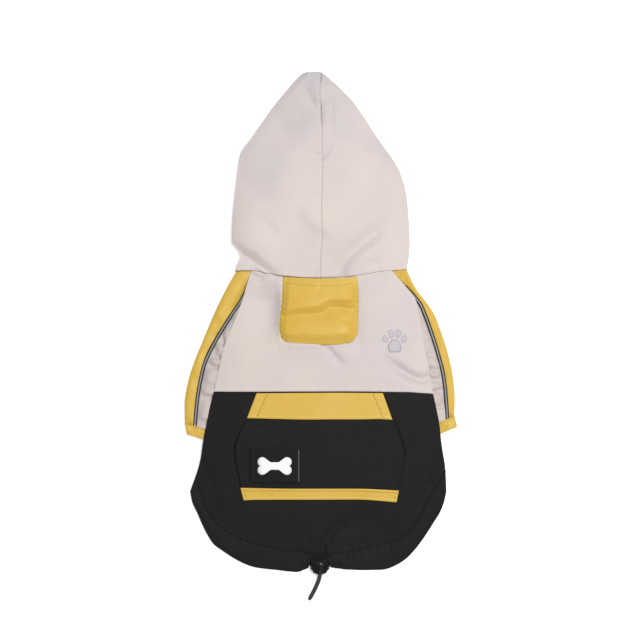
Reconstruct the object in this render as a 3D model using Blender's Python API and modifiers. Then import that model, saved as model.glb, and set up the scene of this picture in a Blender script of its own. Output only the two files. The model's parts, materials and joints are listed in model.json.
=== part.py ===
"""A small dog's raincoat, laid flat on its belly with the back and the hood facing up.

The coat is a flattened tube of thin cloth. Its underside lies on the floor at z = 0: the belly panel, the
lower layers of both sleeves and the turned-under front edges of the hood. The back, the hood and the upper
layers of the sleeves are crowned sheets over them. +Y runs from the hem to the tip of the hood, +X is the
wearer's right, and the origin is the middle of the underside. All sizes below are in millimetres.
"""

from collections import namedtuple

import bmesh
import bpy
import numpy as np

MM = 0.001

# ---------------------------------------------------------------- driving sizes
CLOTH = 1.2  # wall of one layer
SEAM = 0.3  # gap between two pieces at a seam
LAY = 0.5  # gap between a piece and the panel it lies on
HOOD_FOLD = 1.8  # radius of the rolled edge where the hood turns under
SLEEVE_FOLD = 1.8  # radius of the rolled edges of a sleeve
SLEEVE_CROWN = 0.7  # how much the middle of a sleeve stands above its edges
SLEEVE_TUCK = 14.0  # width of each sleeve hidden under the side of the back
PIPING = 2.6  # diameter of the reflective piping
LOCK_WIDTH, LOCK_LENGTH, LOCK_HEIGHT = 17.0, 11.0, 10.0  # the cord lock
LOCK_BORE = 4.4
CORD, CORD_X = 3.6, -0.8  # the elastic cord: its diameter, and where it leaves the hem
HEM_THICK = 3.2  # the casing: two layers of cloth round the elastic
LEFT, RIGHT = -1, 1

# ---------------------------------------------------------------- sections and outlines
Side = namedtuple("Side", "y left right edge crown")
BACK = [  # the back, from the neck to the hem: side edges, height of the edge and of the middle
    Side(45, -58.6, 60.0, 6.6, 9.6),
    Side(33, -62.5, 69.8, 6.6, 10.2),
    Side(22, -65.4, 79.0, 6.6, 10.8),
    Side(10, -70.0, 82.8, 6.6, 11.3),
    Side(-2, -74.8, 85.2, 6.6, 11.6),
    Side(-20, -82.0, 87.8, 6.6, 11.7),
    Side(-41, -87.0, 92.1, 6.6, 11.5),
    Side(-60, -90.7, 95.0, 6.6, 11.2),
    Side(-74, -94.2, 97.9, 6.6, 11.0),
    Side(-88, -97.0, 100.6, 6.6, 10.6),
    Side(-102, -99.8, 102.1, 6.6, 10.2),
    Side(-116, -102.0, 104.4, 3.6, 9.6),
    Side(-130, -105.9, 106.6, 3.3, 8.9),
    Side(-144, -111.0, 106.7, 3.3, 8.0),
    Side(-200, -111.0, 106.7, 3.3, 5.0),
]
SKIRT_COLUMNS = 32  # columns of the sheet across the back's lower panel and the hem casing
BACK_RISE = 62.0  # distance from the edge over which the back reaches its full height

Spot = namedtuple("Spot", "x y")
NECK = [  # the neck seam, from the left sleeve to the right one
    Spot(-73, 44.0), Spot(-56, 44.2), Spot(-43, 41.2), Spot(-30, 39.4), Spot(-14, 38.1),
    Spot(2, 37.7), Spot(18, 38.6), Spot(34, 40.4), Spot(51, 43.4), Spot(73, 45.0),
]  # fmt: skip
YOKE_HEM = [Spot(-90.6, -59.0), Spot(-40, -59.6), Spot(0, -60.2), Spot(50, -60.6), Spot(95.1, -61.2)]
CASING_SEAM = [  # where the hem casing is sewn to the back
    Spot(-105.9, -130.0), Spot(-100.1, -150.9), Spot(-91.6, -167.0), Spot(-80.6, -177.2),
    Spot(-68.7, -183.4), Spot(-45.9, -190.3), Spot(-18.5, -194.9), Spot(2.7, -196.4),
    Spot(32.0, -192.7), Spot(52.4, -188.0), Spot(63.1, -184.7), Spot(73.3, -178.5),
    Spot(81.0, -168.7), Spot(89.4, -153.4), Spot(96.8, -140.0), Spot(105.6, -125.4),
]  # fmt: skip
HEM_LEFT = [  # the hem's edge up to the mouth, where the elastic comes out
    Spot(-111.0, -143.7), Spot(-110.4, -149.0), Spot(-105.7, -160.2), Spot(-98.8, -175.7),
    Spot(-91.0, -188.4), Spot(-80.8, -195.7), Spot(-68.7, -203.2), Spot(-55.0, -208.2),
    Spot(-35.3, -210.5), Spot(-20.5, -212.0), Spot(-13.5, -209.8), Spot(-10.2, -205.4),
]  # fmt: skip
HEM_RIGHT = [
    Spot(8.6, -204.8), Spot(12.5, -208.0), Spot(19.8, -209.6), Spot(37.2, -210.4),
    Spot(53.6, -209.8), Spot(71.4, -201.5), Spot(80.5, -192.4), Spot(90.4, -178.7),
    Spot(98.0, -166.5), Spot(103.3, -157.4), Spot(106.7, -143.7),
]  # fmt: skip
MOUTH_Y = -201.6  # the casing's edge above the cord lock

Row = namedtuple("Row", "y seam crown face")
HOOD = [  # the hood: its centre seam, the height there, and how far the front opening stands off it
    Row(38, -0.5, 11.2, 0.6),
    Row(52, -0.5, 12.9, 7.0),
    Row(72, 1.1, 14.5, 21.0),
    Row(95, 0.3, 15.6, 31.0),
    Row(135, 1.4, 14.4, 36.0),
    Row(170, 0.8, 10.6, 24.0),
    Row(194, -0.9, 6.8, 8.0),
    Row(212.1, 0.3, 3.8, 0.8),
]
HOOD_RIM_LEFT = [
    Spot(-72.1, 43.8), Spot(-67.6, 55.6), Spot(-74.8, 67.8), Spot(-75.1, 76.8), Spot(-73.7, 96.3),
    Spot(-70.5, 125.5), Spot(-67.4, 143.5), Spot(-64.4, 149.0), Spot(-56.6, 158.1),
    Spot(-45.2, 174.3), Spot(-33.8, 189.8), Spot(-16.0, 210.1),
]  # fmt: skip
HOOD_RIM_RIGHT = [
    Spot(73.0, 45.0), Spot(74.4, 52.4), Spot(75.1, 68.7), Spot(74.8, 88.1), Spot(72.7, 106.1),
    Spot(69.4, 122.3), Spot(63.7, 133.7), Spot(50.7, 151.6), Spot(39.4, 169.5),
    Spot(26.3, 188.2), Spot(15.0, 200.3), Spot(8.4, 205.8),
]  # fmt: skip
HOOD_RISE = 52.0
HOOD_COLUMNS = 9  # columns of the sheet from the centre seam to the rim
TIP_BULGE = 0.8  # how far the top edge of each half bows out

SLEEVE_OUTER = {
    LEFT: [
        Spot(-71.7, 44.0), Spot(-82.7, 24.2), Spot(-91.2, 6.2), Spot(-100.7, -16.6),
        Spot(-108.3, -35.5), Spot(-113.5, -53.6), Spot(-115.7, -68.8), Spot(-115.6, -85.2),
    ],
    RIGHT: [
        Spot(73.0, 44.6), Spot(80.7, 29.0), Spot(90.1, 16.6), Spot(95.8, 8.1), Spot(101.5, -6.2),
        Spot(107.2, -23.3), Spot(111.9, -44.1), Spot(113.9, -65.0), Spot(113.4, -78.6),
    ],
}  # fmt: skip
SLEEVE_SEAM = {  # between the strip and the panel: the piping lies along it below the yoke
    LEFT: [
        Spot(-56.0, 44.0), Spot(-61.5, 31.0), Spot(-67.5, 18.5), Spot(-74.1, 9.0), Spot(-85.6, -9.0),
        Spot(-98.1, -33.2), Spot(-102.8, -52.2), Spot(-105.4, -69.3), Spot(-106.9, -86.4),
    ],
    RIGHT: [
        Spot(57.5, 44.5), Spot(67.0, 34.0), Spot(76.5, 24.5), Spot(83.0, 18.0), Spot(88.2, 6.7),
        Spot(93.9, -8.9), Spot(100.0, -28.5), Spot(103.9, -44.1), Spot(106.0, -60.8),
        Spot(107.4, -81.8),
    ],
}  # fmt: skip
Cuff = namedtuple("Cuff", "top_outer top_inner hem_outer hem_inner")
CUFF = {
    LEFT: Cuff(Spot(-115.6, -85.6), Spot(-84.8, -94.2), Spot(-113.8, -94.8), Spot(-86.4, -103.2)),
    RIGHT: Cuff(Spot(113.6, -79.3), Spot(87.0, -89.4), Spot(115.8, -88.4), Spot(88.2, -99.8)),
}
BELLY_HEM = [Spot(-103.4, -128.6), Spot(-60, -135.5), Spot(0, -138.5), Spot(60, -133.5), Spot(103.2, -124.4)]

FLAP = {  # the leash flap: top edge in the neck seam, rounded lower corners
    "top": [Spot(-31.8, 38.6), Spot(-14, 37.4), Spot(2, 37.0), Spot(18, 37.6), Spot(31.0, 38.8)],
    "bottom": [
        Spot(-34.9, -8.0), Spot(-33.6, -12.6), Spot(-29.6, -15.6), Spot(-9.3, -18.2), Spot(6.2, -18.6),
        Spot(21.2, -17.4), Spot(28.3, -14.4), Spot(31.2, -9.6),
    ],
    "left": [Spot(-31.8, 38.6), Spot(-32.8, 20.8), Spot(-34.6, 1.2), Spot(-34.9, -8.0)],
    "right": [Spot(31.0, 38.8), Spot(31.6, 16.7), Spot(31.3, 1.2), Spot(31.2, -9.6)],
}  # fmt: skip
POCKET_TOP = {
    "top": [Spot(-54.2, -61.0), Spot(0, -61.6), Spot(52.2, -62.0)],
    "bottom": [Spot(-62.2, -81.6), Spot(0, -83.0), Spot(60.2, -82.4)],
}
POCKET_BODY = {
    "top": [Spot(-62.6, -82.4), Spot(0, -83.8), Spot(60.8, -83.2)],
    "bottom": [Spot(-67.6, -139.9), Spot(-20, -140.6), Spot(30, -140.6), Spot(66.0, -142.2)],
    "left": [Spot(-62.6, -82.4), Spot(-72.4, -109.0), Spot(-71.9, -115.2), Spot(-67.6, -139.9)],
    "right": [Spot(60.8, -83.2), Spot(70.1, -113.2), Spot(69.6, -116.6), Spot(66.0, -142.2)],
}
POCKET_BAND = {
    "top": [Spot(-67.8, -140.6), Spot(-20, -141.3), Spot(30, -141.3), Spot(65.8, -143.0)],
    "bottom": [Spot(-65.2, -151.9), Spot(-20, -151.6), Spot(30, -151.4), Spot(64.0, -153.2)],
}
LABEL = {"left": -59.6, "right": -18.4, "top": -107.6, "bottom": -136.2}

Fold = namedtuple("Fold", "x0 y0 x1 y1 width height")
HOOD_FOLDS = [  # soft ridges (above 0) and troughs (below 0) between two points
    Fold(-76, 62, -47, 44, 5.5, -2.6),
    Fold(-74, 71, -40, 47, 7.0, 1.6),
    Fold(22, 46, 50, 69, 9.0, -1.6),
    Fold(30, 46, 66, 60, 7.0, 1.2),
    Fold(-20, 52, -38, 78, 10.0, -1.0),
    Fold(0, 185, 2, 150, 9.0, 0.9),
    Fold(20, 92, 44, 132, 12.0, -0.9),
]
BACK_FOLDS = [
    Fold(62, -36, 90, -52, 7.0, -0.9),
    Fold(-2, -170, 1, -200, 6.0, 0.8),
    Fold(4, -186, 38, -166, 12.0, -0.9),
    Fold(-46, -176, -8, -192, 11.0, 0.7),
    Fold(84, -158, 104, -124, 6.0, -0.6),
]

COLOURS = {  # name: linear colour, roughness
    "cream_cloth": ((0.74, 0.68, 0.65), 0.55),
    "yellow_cloth": ((0.74, 0.47, 0.08), 0.5),
    "black_cloth": ((0.022, 0.022, 0.023), 0.6),
    "woven_label": ((0.018, 0.019, 0.022), 0.5),
    "reflective_tape": ((0.2, 0.22, 0.24), 0.35),
    "black_plastic": ((0.01, 0.01, 0.012), 0.25),
    "black_cord": ((0.04, 0.04, 0.042), 0.8),
}


# ---------------------------------------------------------------- curves
def smooth(knots, values, at):
    """Monotone cubic through table rows, so that a curve never swings past its own points."""
    knots, values = np.asarray(knots, float), np.asarray(values, float)
    step = np.diff(knots)
    rise = np.diff(values) / step
    slope = np.concatenate([[rise[0]], np.zeros(len(rise) - 1), [rise[-1]]])
    steady = rise[:-1] * rise[1:] > 0
    slope[1:-1][steady] = 2 / (1 / rise[:-1][steady] + 1 / rise[1:][steady])
    i = np.clip(np.searchsorted(knots, at, side="right") - 1, 0, len(step) - 1)
    t = np.clip((at - knots[i]) / step[i], 0, 1)
    start = values[i] * (1 + 2 * t) * (1 - t) ** 2 + slope[i] * step[i] * t * (1 - t) ** 2
    end = values[i + 1] * t**2 * (3 - 2 * t) - slope[i + 1] * step[i] * t**2 * (1 - t)
    return start + end


def along(points, shares):
    """Points at the given shares (0 to 1) of the length of a smooth line through the table's points."""
    points = np.array(points, float)
    length = np.concatenate([[0], np.cumsum(np.linalg.norm(np.diff(points, axis=0), axis=1))])
    at = np.asarray(shares, float) * length[-1]
    return np.stack([smooth(length, points[:, k], at) for k in range(2)], axis=1)


def even(count):
    return np.linspace(0, 1, count + 1)


def by_y(table, column, y):
    """A column of a table that runs down the garment, read at heights y."""
    rows = sorted(table, key=lambda row: row.y)
    return smooth([row.y for row in rows], [getattr(row, column) for row in rows], y)


def neck_y(x):
    return smooth([spot.x for spot in NECK], [spot.y for spot in NECK], np.asarray(x, float))


def neck_line(x, gap):
    return np.stack([x, neck_y(x) + gap], axis=1)


def neck_columns(side):
    """Where the panels' columns meet the neck seam, so that the pieces on both sides of it match."""
    return np.linspace(side * SEAM - 0.5, side * (74.0 - HOOD_FOLD), HOOD_COLUMNS + 1)


def patch(top, bottom, left, right):
    """Coons patch: a grid of points that fills four edges. Rows run from top to bottom."""
    u = even(len(top) - 1)[None, :, None]
    v = even(len(left) - 1)[:, None, None]
    ruled = (1 - v) * top[None] + v * bottom[None] + (1 - u) * left[:, None] + u * right[:, None]
    corners = (1 - v) * ((1 - u) * top[0] + u * top[-1]) + v * ((1 - u) * bottom[0] + u * bottom[-1])
    return ruled - corners


def distance(points, line):
    """Distance of each point from a polyline."""
    a, b = line[:-1], line[1:]
    to_point = points[..., None, :] - a
    span = b - a
    t = np.clip((to_point * span).sum(-1) / np.maximum((span**2).sum(-1), 1e-9), 0, 1)
    return np.linalg.norm(to_point - t[..., None] * span, axis=-1).min(-1)


def folds(points, table):
    """The height that the soft ridges and troughs of a table add."""
    added = np.zeros(points.shape[:-1])
    for fold in table:
        a, b = np.array([fold.x0, fold.y0], float), np.array([fold.x1, fold.y1], float)
        span = b - a
        t = np.clip(((points - a) @ span) / (span @ span), 0, 1)
        away = np.linalg.norm(points - a - t[..., None] * span, axis=-1)
        added += fold.height * np.exp(-((away / fold.width) ** 2)) * (0.45 + 0.55 * np.sin(np.pi * t))
    return added


# ---------------------------------------------------------------- heights of the outer surface
BACK_EDGE = np.concatenate(
    [
        along([(row.left, row.y) for row in BACK[:13]], even(40)),
        along(CASING_SEAM, even(60)),
        along([(row.right, row.y) for row in BACK[12::-1]], even(40)),
    ]
)


def crowned(height_at_edge, height_at_middle, share):
    """Height at a share of the way from the edge (0) to where the crown is full (1)."""
    rise = 1 - (1 - np.clip(share, 0, 1)) ** 2.3
    return height_at_edge + (height_at_middle - height_at_edge) * rise


def back_height(points):
    y = points[..., 1]
    share = distance(points, BACK_EDGE) / BACK_RISE
    surface = crowned(by_y(BACK, "edge", y), by_y(BACK, "crown", y), share)
    return surface + folds(points, BACK_FOLDS) * np.clip(share * 8, 0, 1)


def hood_height(points, rim):
    share = distance(points, rim) / HOOD_RISE
    surface = crowned(2 * HOOD_FOLD, by_y(HOOD, "crown", points[..., 1]), share)
    return surface + folds(points, HOOD_FOLDS) * np.clip(share * 5, 0, 1)


def with_height(points, height):
    return np.concatenate([points, np.broadcast_to(height, points.shape[:-1])[..., None]], axis=-1)


# ---------------------------------------------------------------- Blender objects
def new_collection(name):
    collection = bpy.data.collections.new(name)
    bpy.context.scene.collection.children.link(collection)
    return collection


def new_material(name):
    colour, roughness = COLOURS[name]
    material = bpy.data.materials.new(name)
    material.use_nodes = True
    shader = material.node_tree.nodes["Principled BSDF"]
    shader.inputs["Base Color"].default_value = (*colour, 1)
    shader.inputs["Roughness"].default_value = roughness
    return material


def add_object(name, mesh, cloth):
    piece = bpy.data.objects.new(name, mesh)
    piece.data.materials.append(MATERIALS[cloth])
    COAT.objects.link(piece)
    return piece


def sheet_mesh(name, grid, ring=False):
    """A sheet of quads on a grid of points in millimetres; ring joins the last column to the first."""
    rows, columns = grid.shape[:2]
    mesh = bpy.data.meshes.new(name)
    form = bmesh.new()
    bmesh.ops.create_grid(form, x_segments=columns if ring else columns - 1, y_segments=rows - 1)
    form.verts.ensure_lookup_table()
    wide = columns + 1 if ring else columns
    for i, vertex in enumerate(form.verts):
        row, column = divmod(i, wide)
        vertex.co = grid[row, column % columns] * MM
    if ring:
        bmesh.ops.remove_doubles(form, verts=form.verts, dist=0.00001)
    form.normal_update()
    return mesh, form


def finish_mesh(mesh, form):
    form.to_mesh(mesh)
    form.free()
    mesh.shade_smooth()
    mesh.set_sharp_from_angle(angle=0.7)
    return mesh


def cloth_shell(name, grid, cloth, thickness=CLOTH, ring=False):
    """A wall of cloth whose outer surface is the grid. Its first faces look up."""
    mesh, form = sheet_mesh(name, grid, ring)
    form.faces.ensure_lookup_table()
    if form.faces[0].normal.z < 0:
        bmesh.ops.reverse_faces(form, faces=form.faces)
    piece = add_object(name, finish_mesh(mesh, form), cloth)
    wall = piece.modifiers.new("wall", "SOLIDIFY")
    wall.thickness = thickness * MM
    wall.offset = -1
    return piece


def cloth_slab(name, grid, cloth):
    """Cloth that is solid from its outer surface down to the floor."""
    mesh, form = sheet_mesh(name, grid)
    form.faces.ensure_lookup_table()
    if form.faces[0].normal.z < 0:
        bmesh.ops.reverse_faces(form, faces=form.faces)
    lower = bmesh.ops.extrude_face_region(form, geom=form.faces[:], use_keep_orig=True)
    for vertex in (part for part in lower["geom"] if isinstance(part, bmesh.types.BMVert)):
        vertex.co.z = 0
    bmesh.ops.recalc_face_normals(form, faces=form.faces)
    return add_object(name, finish_mesh(mesh, form), cloth)


def flat_cut(name, outline, thickness, cloth, z=0.0):
    """A flat piece of cloth: a filled 2D curve, extruded by half its thickness to each side."""
    curve = bpy.data.curves.new(name, "CURVE")
    curve.dimensions = "2D"
    curve.fill_mode = "BOTH"
    curve.extrude = thickness * MM / 2
    spline = curve.splines.new("POLY")
    spline.points.add(len(outline) - 1)
    for point, (x, y) in zip(spline.points, outline):
        point.co = (x * MM, y * MM, 0, 1)
    spline.use_cyclic_u = True
    piece = add_object(name, curve, cloth)
    piece.location.z = (z + thickness / 2) * MM
    return piece


def tube(name, path, diameter, cloth, resolution):
    curve = bpy.data.curves.new(name, "CURVE")
    curve.dimensions = "3D"
    curve.bevel_depth = diameter * MM / 2
    curve.bevel_resolution = resolution
    curve.use_fill_caps = True
    spline = curve.splines.new("POLY")
    spline.points.add(len(path) - 1)
    for point, (x, y, z) in zip(spline.points, path):
        point.co = (x * MM, y * MM, z * MM, 1)
    return add_object(name, curve, cloth)


# ---------------------------------------------------------------- the turned-under edge
def outward(line, inside):
    """Unit normals of a line in plan, pointing away from the inside line."""
    run = np.gradient(line, axis=0)
    normal = np.stack([run[:, 1], -run[:, 0]], axis=1)
    normal /= np.linalg.norm(normal, axis=1, keepdims=True)
    flip = np.sign(((line - inside) * normal).sum(axis=1))
    return normal * np.where(flip == 0, 1, flip)[:, None]


def turned_under(top, radius, rim, normal, under):
    """Grid of a sheet that runs over the top, rolls round the rim and comes back along the floor."""
    roll = []
    for angle in np.radians([45, 0, -45]):
        reach = rim + normal * radius * np.cos(angle)
        roll.append(with_height(reach, radius * (1 + np.sin(angle))))
    roll = np.stack(roll, axis=1)
    return np.concatenate([top, roll, with_height(under, np.zeros(under.shape[:-1]))], axis=1)


# ---------------------------------------------------------------- hood
def hood_half(name, side, rim_table, rows=16, under_columns=3):
    """Half of the hood, from the centre seam over the side and under to the front opening."""
    rim_edge = along(rim_table, even(rows))
    seam_y = np.linspace(neck_y(0) + SEAM, 212.0, rows + 1)
    seam_line = np.stack([by_y(HOOD, "seam", seam_y) + side * SEAM, seam_y], axis=1)
    normal = outward(rim_edge, seam_line)
    normal[0] = (side, 0)
    rim = rim_edge - normal * HOOD_FOLD
    neck = neck_line(neck_columns(side), SEAM)
    rim[0] = neck[-1]
    tip = seam_line[-1] + (rim[-1] - seam_line[-1]) * even(HOOD_COLUMNS)[:, None]
    tip[:, 1] += TIP_BULGE * np.sin(np.pi * even(HOOD_COLUMNS))
    plan = patch(neck, tip, seam_line, rim)
    height = hood_height(plan, rim)
    height[:, -1] = 2 * HOOD_FOLD
    face = seam_line + np.stack([side * by_y(HOOD, "face", seam_y), -5 * even(rows)], axis=1)
    share = even(under_columns)[None, :, None]
    under = rim[:, None] * (1 - share) + face[:, None] * share
    under[0, 1:, 1] = NECK[-1].y + SEAM
    grid = turned_under(with_height(plan, height), HOOD_FOLD, rim, normal, under)
    return cloth_shell(name, grid, "cream_cloth")


# ---------------------------------------------------------------- back
def back_side(side, y):
    column = "left" if side == LEFT else "right"
    return np.stack([by_y(BACK, column, y), y], axis=1)


def back_panel(name, top, bottom, cloth, rows):
    """A panel of the back between two cross seams, out to the sides of the garment."""
    edges = []
    for side, end in ((LEFT, 0), (RIGHT, -1)):
        line = back_side(side, np.linspace(top[end, 1], bottom[end, 1], rows + 1))
        line[0], line[-1] = top[end], bottom[end]
        edges.append(line)
    plan = patch(top, bottom, *edges)
    return cloth_shell(name, with_height(plan, back_height(plan)), cloth)


def yoke():
    left, right = neck_columns(LEFT), neck_columns(RIGHT)
    middle = [x for x in [*left[:0:-1], *right[1:]] if -56 < x < 57]
    top = neck_line(np.array([-58.7, *middle, 60.2]), -SEAM)
    bottom = along(YOKE_HEM, even(len(top) - 1))
    return back_panel("back_yoke", top, bottom, "cream_cloth", rows=9)


def skirt():
    top = along(YOKE_HEM, even(SKIRT_COLUMNS)) - (0, SEAM)
    bottom = along(CASING_SEAM, even(SKIRT_COLUMNS))
    return back_panel("back_skirt", top, bottom, "black_cloth", rows=12)


def casing():
    """The hem casing: a band round the hem with a short mouth in the middle for the elastic."""
    mouth = [(x, MOUTH_Y) for x in (HEM_LEFT[-1].x + 0.8, CORD_X, HEM_RIGHT[0].x - 0.8)]
    beside = SKIRT_COLUMNS // 2 - 2
    hem = np.concatenate([along(HEM_LEFT, even(beside)), mouth, along(HEM_RIGHT, even(beside))])
    seam = along(CASING_SEAM, even(SKIRT_COLUMNS))
    inner = seam + outward(seam, seam * (1, 0) - (0, 100)) * SEAM
    share = np.array([0, 0.28, 0.72, 1])[:, None, None]
    plan = inner * (1 - share) + hem * share
    height = HEM_THICK * np.array([0.95, 1.2, 1.15, 0.75])[:, None]
    return cloth_slab("hem_casing", with_height(plan, height), "black_cloth")


# ---------------------------------------------------------------- pieces on the back
def on_back(name, edges, cloth, rows, columns, layers=1, thickness=CLOTH):
    """A piece that lies on the back, made from the back's own surface moved out by its layers."""
    top, bottom = along(edges["top"], even(columns)), along(edges["bottom"], even(columns))
    left = along(edges.get("left", [top[0], bottom[0]]), even(rows))
    right = along(edges.get("right", [top[-1], bottom[-1]]), even(rows))
    plan = patch(top, bottom, left, right)
    lift = layers * (LAY + thickness)
    return cloth_shell(name, with_height(plan, back_height(plan) + lift), cloth, thickness)


def label():
    corners = {
        "top": [(LABEL["left"], LABEL["top"]), (LABEL["right"], LABEL["top"])],
        "bottom": [(LABEL["left"], LABEL["bottom"]), (LABEL["right"], LABEL["bottom"])],
    }
    return on_back("pocket_label", corners, "woven_label", rows=4, columns=6, layers=2, thickness=1.1)


# ---------------------------------------------------------------- sleeves
def armhole(side, y, gap=0.0):
    """The line under the back where a sleeve ends and the belly begins."""
    return back_side(side, y) - (side * (SLEEVE_TUCK + gap), 0)


def armhole_top(side, gap=0.0):
    """The height at which the line meets the neck seam."""
    y = np.array([42.0])
    for _ in range(4):
        y = neck_y(armhole(side, y, gap)[:, 0]) - SEAM
    return y[0]


def cuff_y(side, x):
    outer, inner = CUFF[side].top_outer, CUFF[side].top_inner
    return outer.y + (inner.y - outer.y) * (x - outer.x) / (inner.x - outer.x)


def sleeve_half(name, side, rim_edge, seam, cloth, columns=3):
    """The strip or the panel of a sleeve: from the piping over the edge and under to the middle."""
    normal = outward(rim_edge, seam)
    rim = rim_edge - normal * SLEEVE_FOLD
    to_rim = outward(seam, 2 * seam - rim_edge)
    share = even(columns)[None, :, None]
    over = (seam + to_rim * (PIPING / 2 + LAY))[:, None] * (1 - share) + rim[:, None] * share
    under = rim[:, None] * (1 - share) + (seam + to_rim * SEAM)[:, None] * share
    crown = 2 * SLEEVE_FOLD + SLEEVE_CROWN * (1 - even(columns) ** 2)
    grid = turned_under(with_height(over, crown), SLEEVE_FOLD, rim, normal, under)
    grid[0, :, 1] = neck_y(grid[0, :, 0]) - SEAM
    grid[-1, :, 1] = cuff_y(side, grid[-1, :, 0]) + SEAM + LAY
    return cloth_shell(name, grid, cloth)


def sleeve(side, word, rows=14):
    outer = along(SLEEVE_OUTER[side], even(rows))
    seam = along(SLEEVE_SEAM[side], even(rows))
    inner = armhole(side, np.linspace(armhole_top(side), CUFF[side].top_inner.y, rows + 1))
    sleeve_half(f"sleeve_strip_{word}", side, outer, seam, "yellow_cloth")
    sleeve_half(f"sleeve_panel_{word}", side, inner, seam, "cream_cloth")
    line = seam[2:].copy()
    line[-1] += (line[-2] - line[-1]) * 0.1
    bead = with_height(line, 2 * SLEEVE_FOLD + 0.1)
    tube(f"sleeve_piping_{word}", bead, PIPING, "reflective_tape", resolution=1)
    cuff(side, word)


def cuff(side, word, steps=5):
    """The cuff: a flattened ring of cloth at the end of the sleeve."""
    radius = (2 * SLEEVE_FOLD + SLEEVE_CROWN + 0.2) / 2
    rows = []
    for share in even(3)[:, None]:
        ends = np.array(CUFF[side][:2]) * (1 - share) + np.array(CUFF[side][2:]) * share
        across = (ends[1] - ends[0]) / np.linalg.norm(ends[1] - ends[0])
        first, last = ends[0] + across * radius, ends[1] - across * radius
        flat = first + (last - first) * even(steps)[:, None]
        ring = [with_height(flat, 2 * radius)]
        for centre, way in ((last, across), (first, -across)):
            for angle in np.radians([45, 0, -45] if way is across else [-45, 0, 45]):
                reach = centre + way * radius * np.cos(angle)
                ring.append(with_height(reach, radius * (1 + np.sin(angle)))[None])
            if way is across:
                ring.append(with_height(flat[::-1], 0.0))
        rows.append(np.concatenate(ring))
    return cloth_shell(f"cuff_{word}", np.array(rows), "yellow_cloth", ring=True)


# ---------------------------------------------------------------- belly
def belly():
    """The belly panel: flat on the floor, between the sleeves and down to its own hem."""
    sides = {}
    for side, corner in ((LEFT, BELLY_HEM[0]), (RIGHT, BELLY_HEM[-1])):
        gap, end = 2 * SEAM, CUFF[side].hem_inner.y
        beside = armhole(side, np.linspace(armhole_top(side, gap), end - 2, 15), gap)
        below = back_side(side, np.linspace(end - 3.5, corner.y, 4)) - (side * 1.5, 0)
        sides[side] = np.concatenate([beside, below])
    hem = along(BELLY_HEM, even(12))
    top = neck_line(np.linspace(sides[RIGHT][0, 0], sides[LEFT][0, 0], 14), -SEAM)
    outline = np.concatenate([top[1:-1], sides[LEFT], hem[1:-1], sides[RIGHT][::-1]])
    return flat_cut("belly_panel", outline, CLOTH, "black_cloth")


# ---------------------------------------------------------------- hem cord and cord lock
CORD_ROUTE = [  # from the mouth of the casing, through the lock, down to the floor and its free end
    (CORD_X, MOUTH_Y - SEAM, LOCK_HEIGHT / 2), (CORD_X, -204.6, 5.0), (CORD_X, -207.5, 5.0),
    (CORD_X, -210.6, 5.0), (CORD_X, -213.8, 5.0), (-0.95, -215.2, 4.75), (-1.2, -216.6, 4.4),
    (-1.6, -218.1, 3.95), (-2.0, -219.5, 3.5), (-3.2, -222.4, 2.6), (-4.5, -225.3, 2.05),
    (-5.9, -228.2, 1.9), (-7.4, -231.0, 1.9), (-8.9, -233.7, 1.9), (-10.0, -235.6, 1.9),
]  # fmt: skip


def turned(name, profile, cloth, steps=20):
    """A barrel round the cord: (radius, y) pairs, flattened in height outside its round bore."""
    bore = LOCK_BORE / 2
    squash = (LOCK_HEIGHT / 2 - bore) / (LOCK_WIDTH / 2 - bore)
    mesh = bpy.data.meshes.new(name)
    form = bmesh.new()
    ring = [form.verts.new((radius * MM, 0, along_axis * MM)) for radius, along_axis in profile]
    edges = [form.edges.new(pair) for pair in zip(ring, ring[1:] + ring[:1])]
    bmesh.ops.spin(
        form, geom=edges, cent=(0, 0, 0), axis=(0, 0, 1), angle=2 * np.pi, steps=steps, use_merge=True
    )
    for vertex in form.verts:
        x, y, z = vertex.co / MM
        radius = np.hypot(x, y)
        low = (bore + (radius - bore) * squash) / radius
        vertex.co = (x * MM, z * MM, y * low * MM)
    bmesh.ops.recalc_face_normals(form, faces=form.faces)
    piece = add_object(name, finish_mesh(mesh, form), cloth)
    piece.location = (CORD_X * MM, 0, LOCK_HEIGHT / 2 * MM)
    return piece


def cord_lock():
    """A barrel lock on the cord: a body with rounded ends and the plunger's round end below it."""
    top, bore = MOUTH_Y - 0.8, LOCK_BORE / 2
    wide, long = LOCK_WIDTH / 2, LOCK_LENGTH
    body = [
        (bore, top), (wide * 0.72, top), (wide * 0.94, top - 0.12 * long), (wide, top - 0.35 * long),
        (wide * 0.98, top - 0.6 * long), (wide * 0.9, top - 0.72 * long), (bore, top - 0.72 * long),
    ]  # fmt: skip
    turned("cord_lock", body, "black_plastic")
    start = top - 0.72 * long - SEAM
    plunger = [
        (bore, start), (wide * 0.8, start), (wide * 0.74, top - 0.86 * long),
        (wide * 0.52, top - 0.97 * long), (bore + 0.6, top - long), (bore, top - long),
    ]  # fmt: skip
    turned("cord_lock_plunger", plunger, "black_plastic")


# ---------------------------------------------------------------- build
for leftover in list(bpy.data.objects):
    bpy.data.objects.remove(leftover)
COAT = new_collection("dog_raincoat")
MATERIALS = {name: new_material(name) for name in COLOURS}

hood_half("hood_left", LEFT, HOOD_RIM_LEFT)
hood_half("hood_right", RIGHT, HOOD_RIM_RIGHT)
yoke()
skirt()
casing()
belly()
on_back("leash_flap", FLAP, "yellow_cloth", rows=7, columns=10)
on_back("pocket_top", POCKET_TOP, "yellow_cloth", rows=2, columns=12)
on_back("pocket_body", POCKET_BODY, "black_cloth", rows=6, columns=14)
on_back("pocket_band", POCKET_BAND, "yellow_cloth", rows=1, columns=14)
label()
sleeve(LEFT, "left")
sleeve(RIGHT, "right")
cord_lock()
tube("hem_cord", CORD_ROUTE, CORD, "black_cord", resolution=2)
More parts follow.
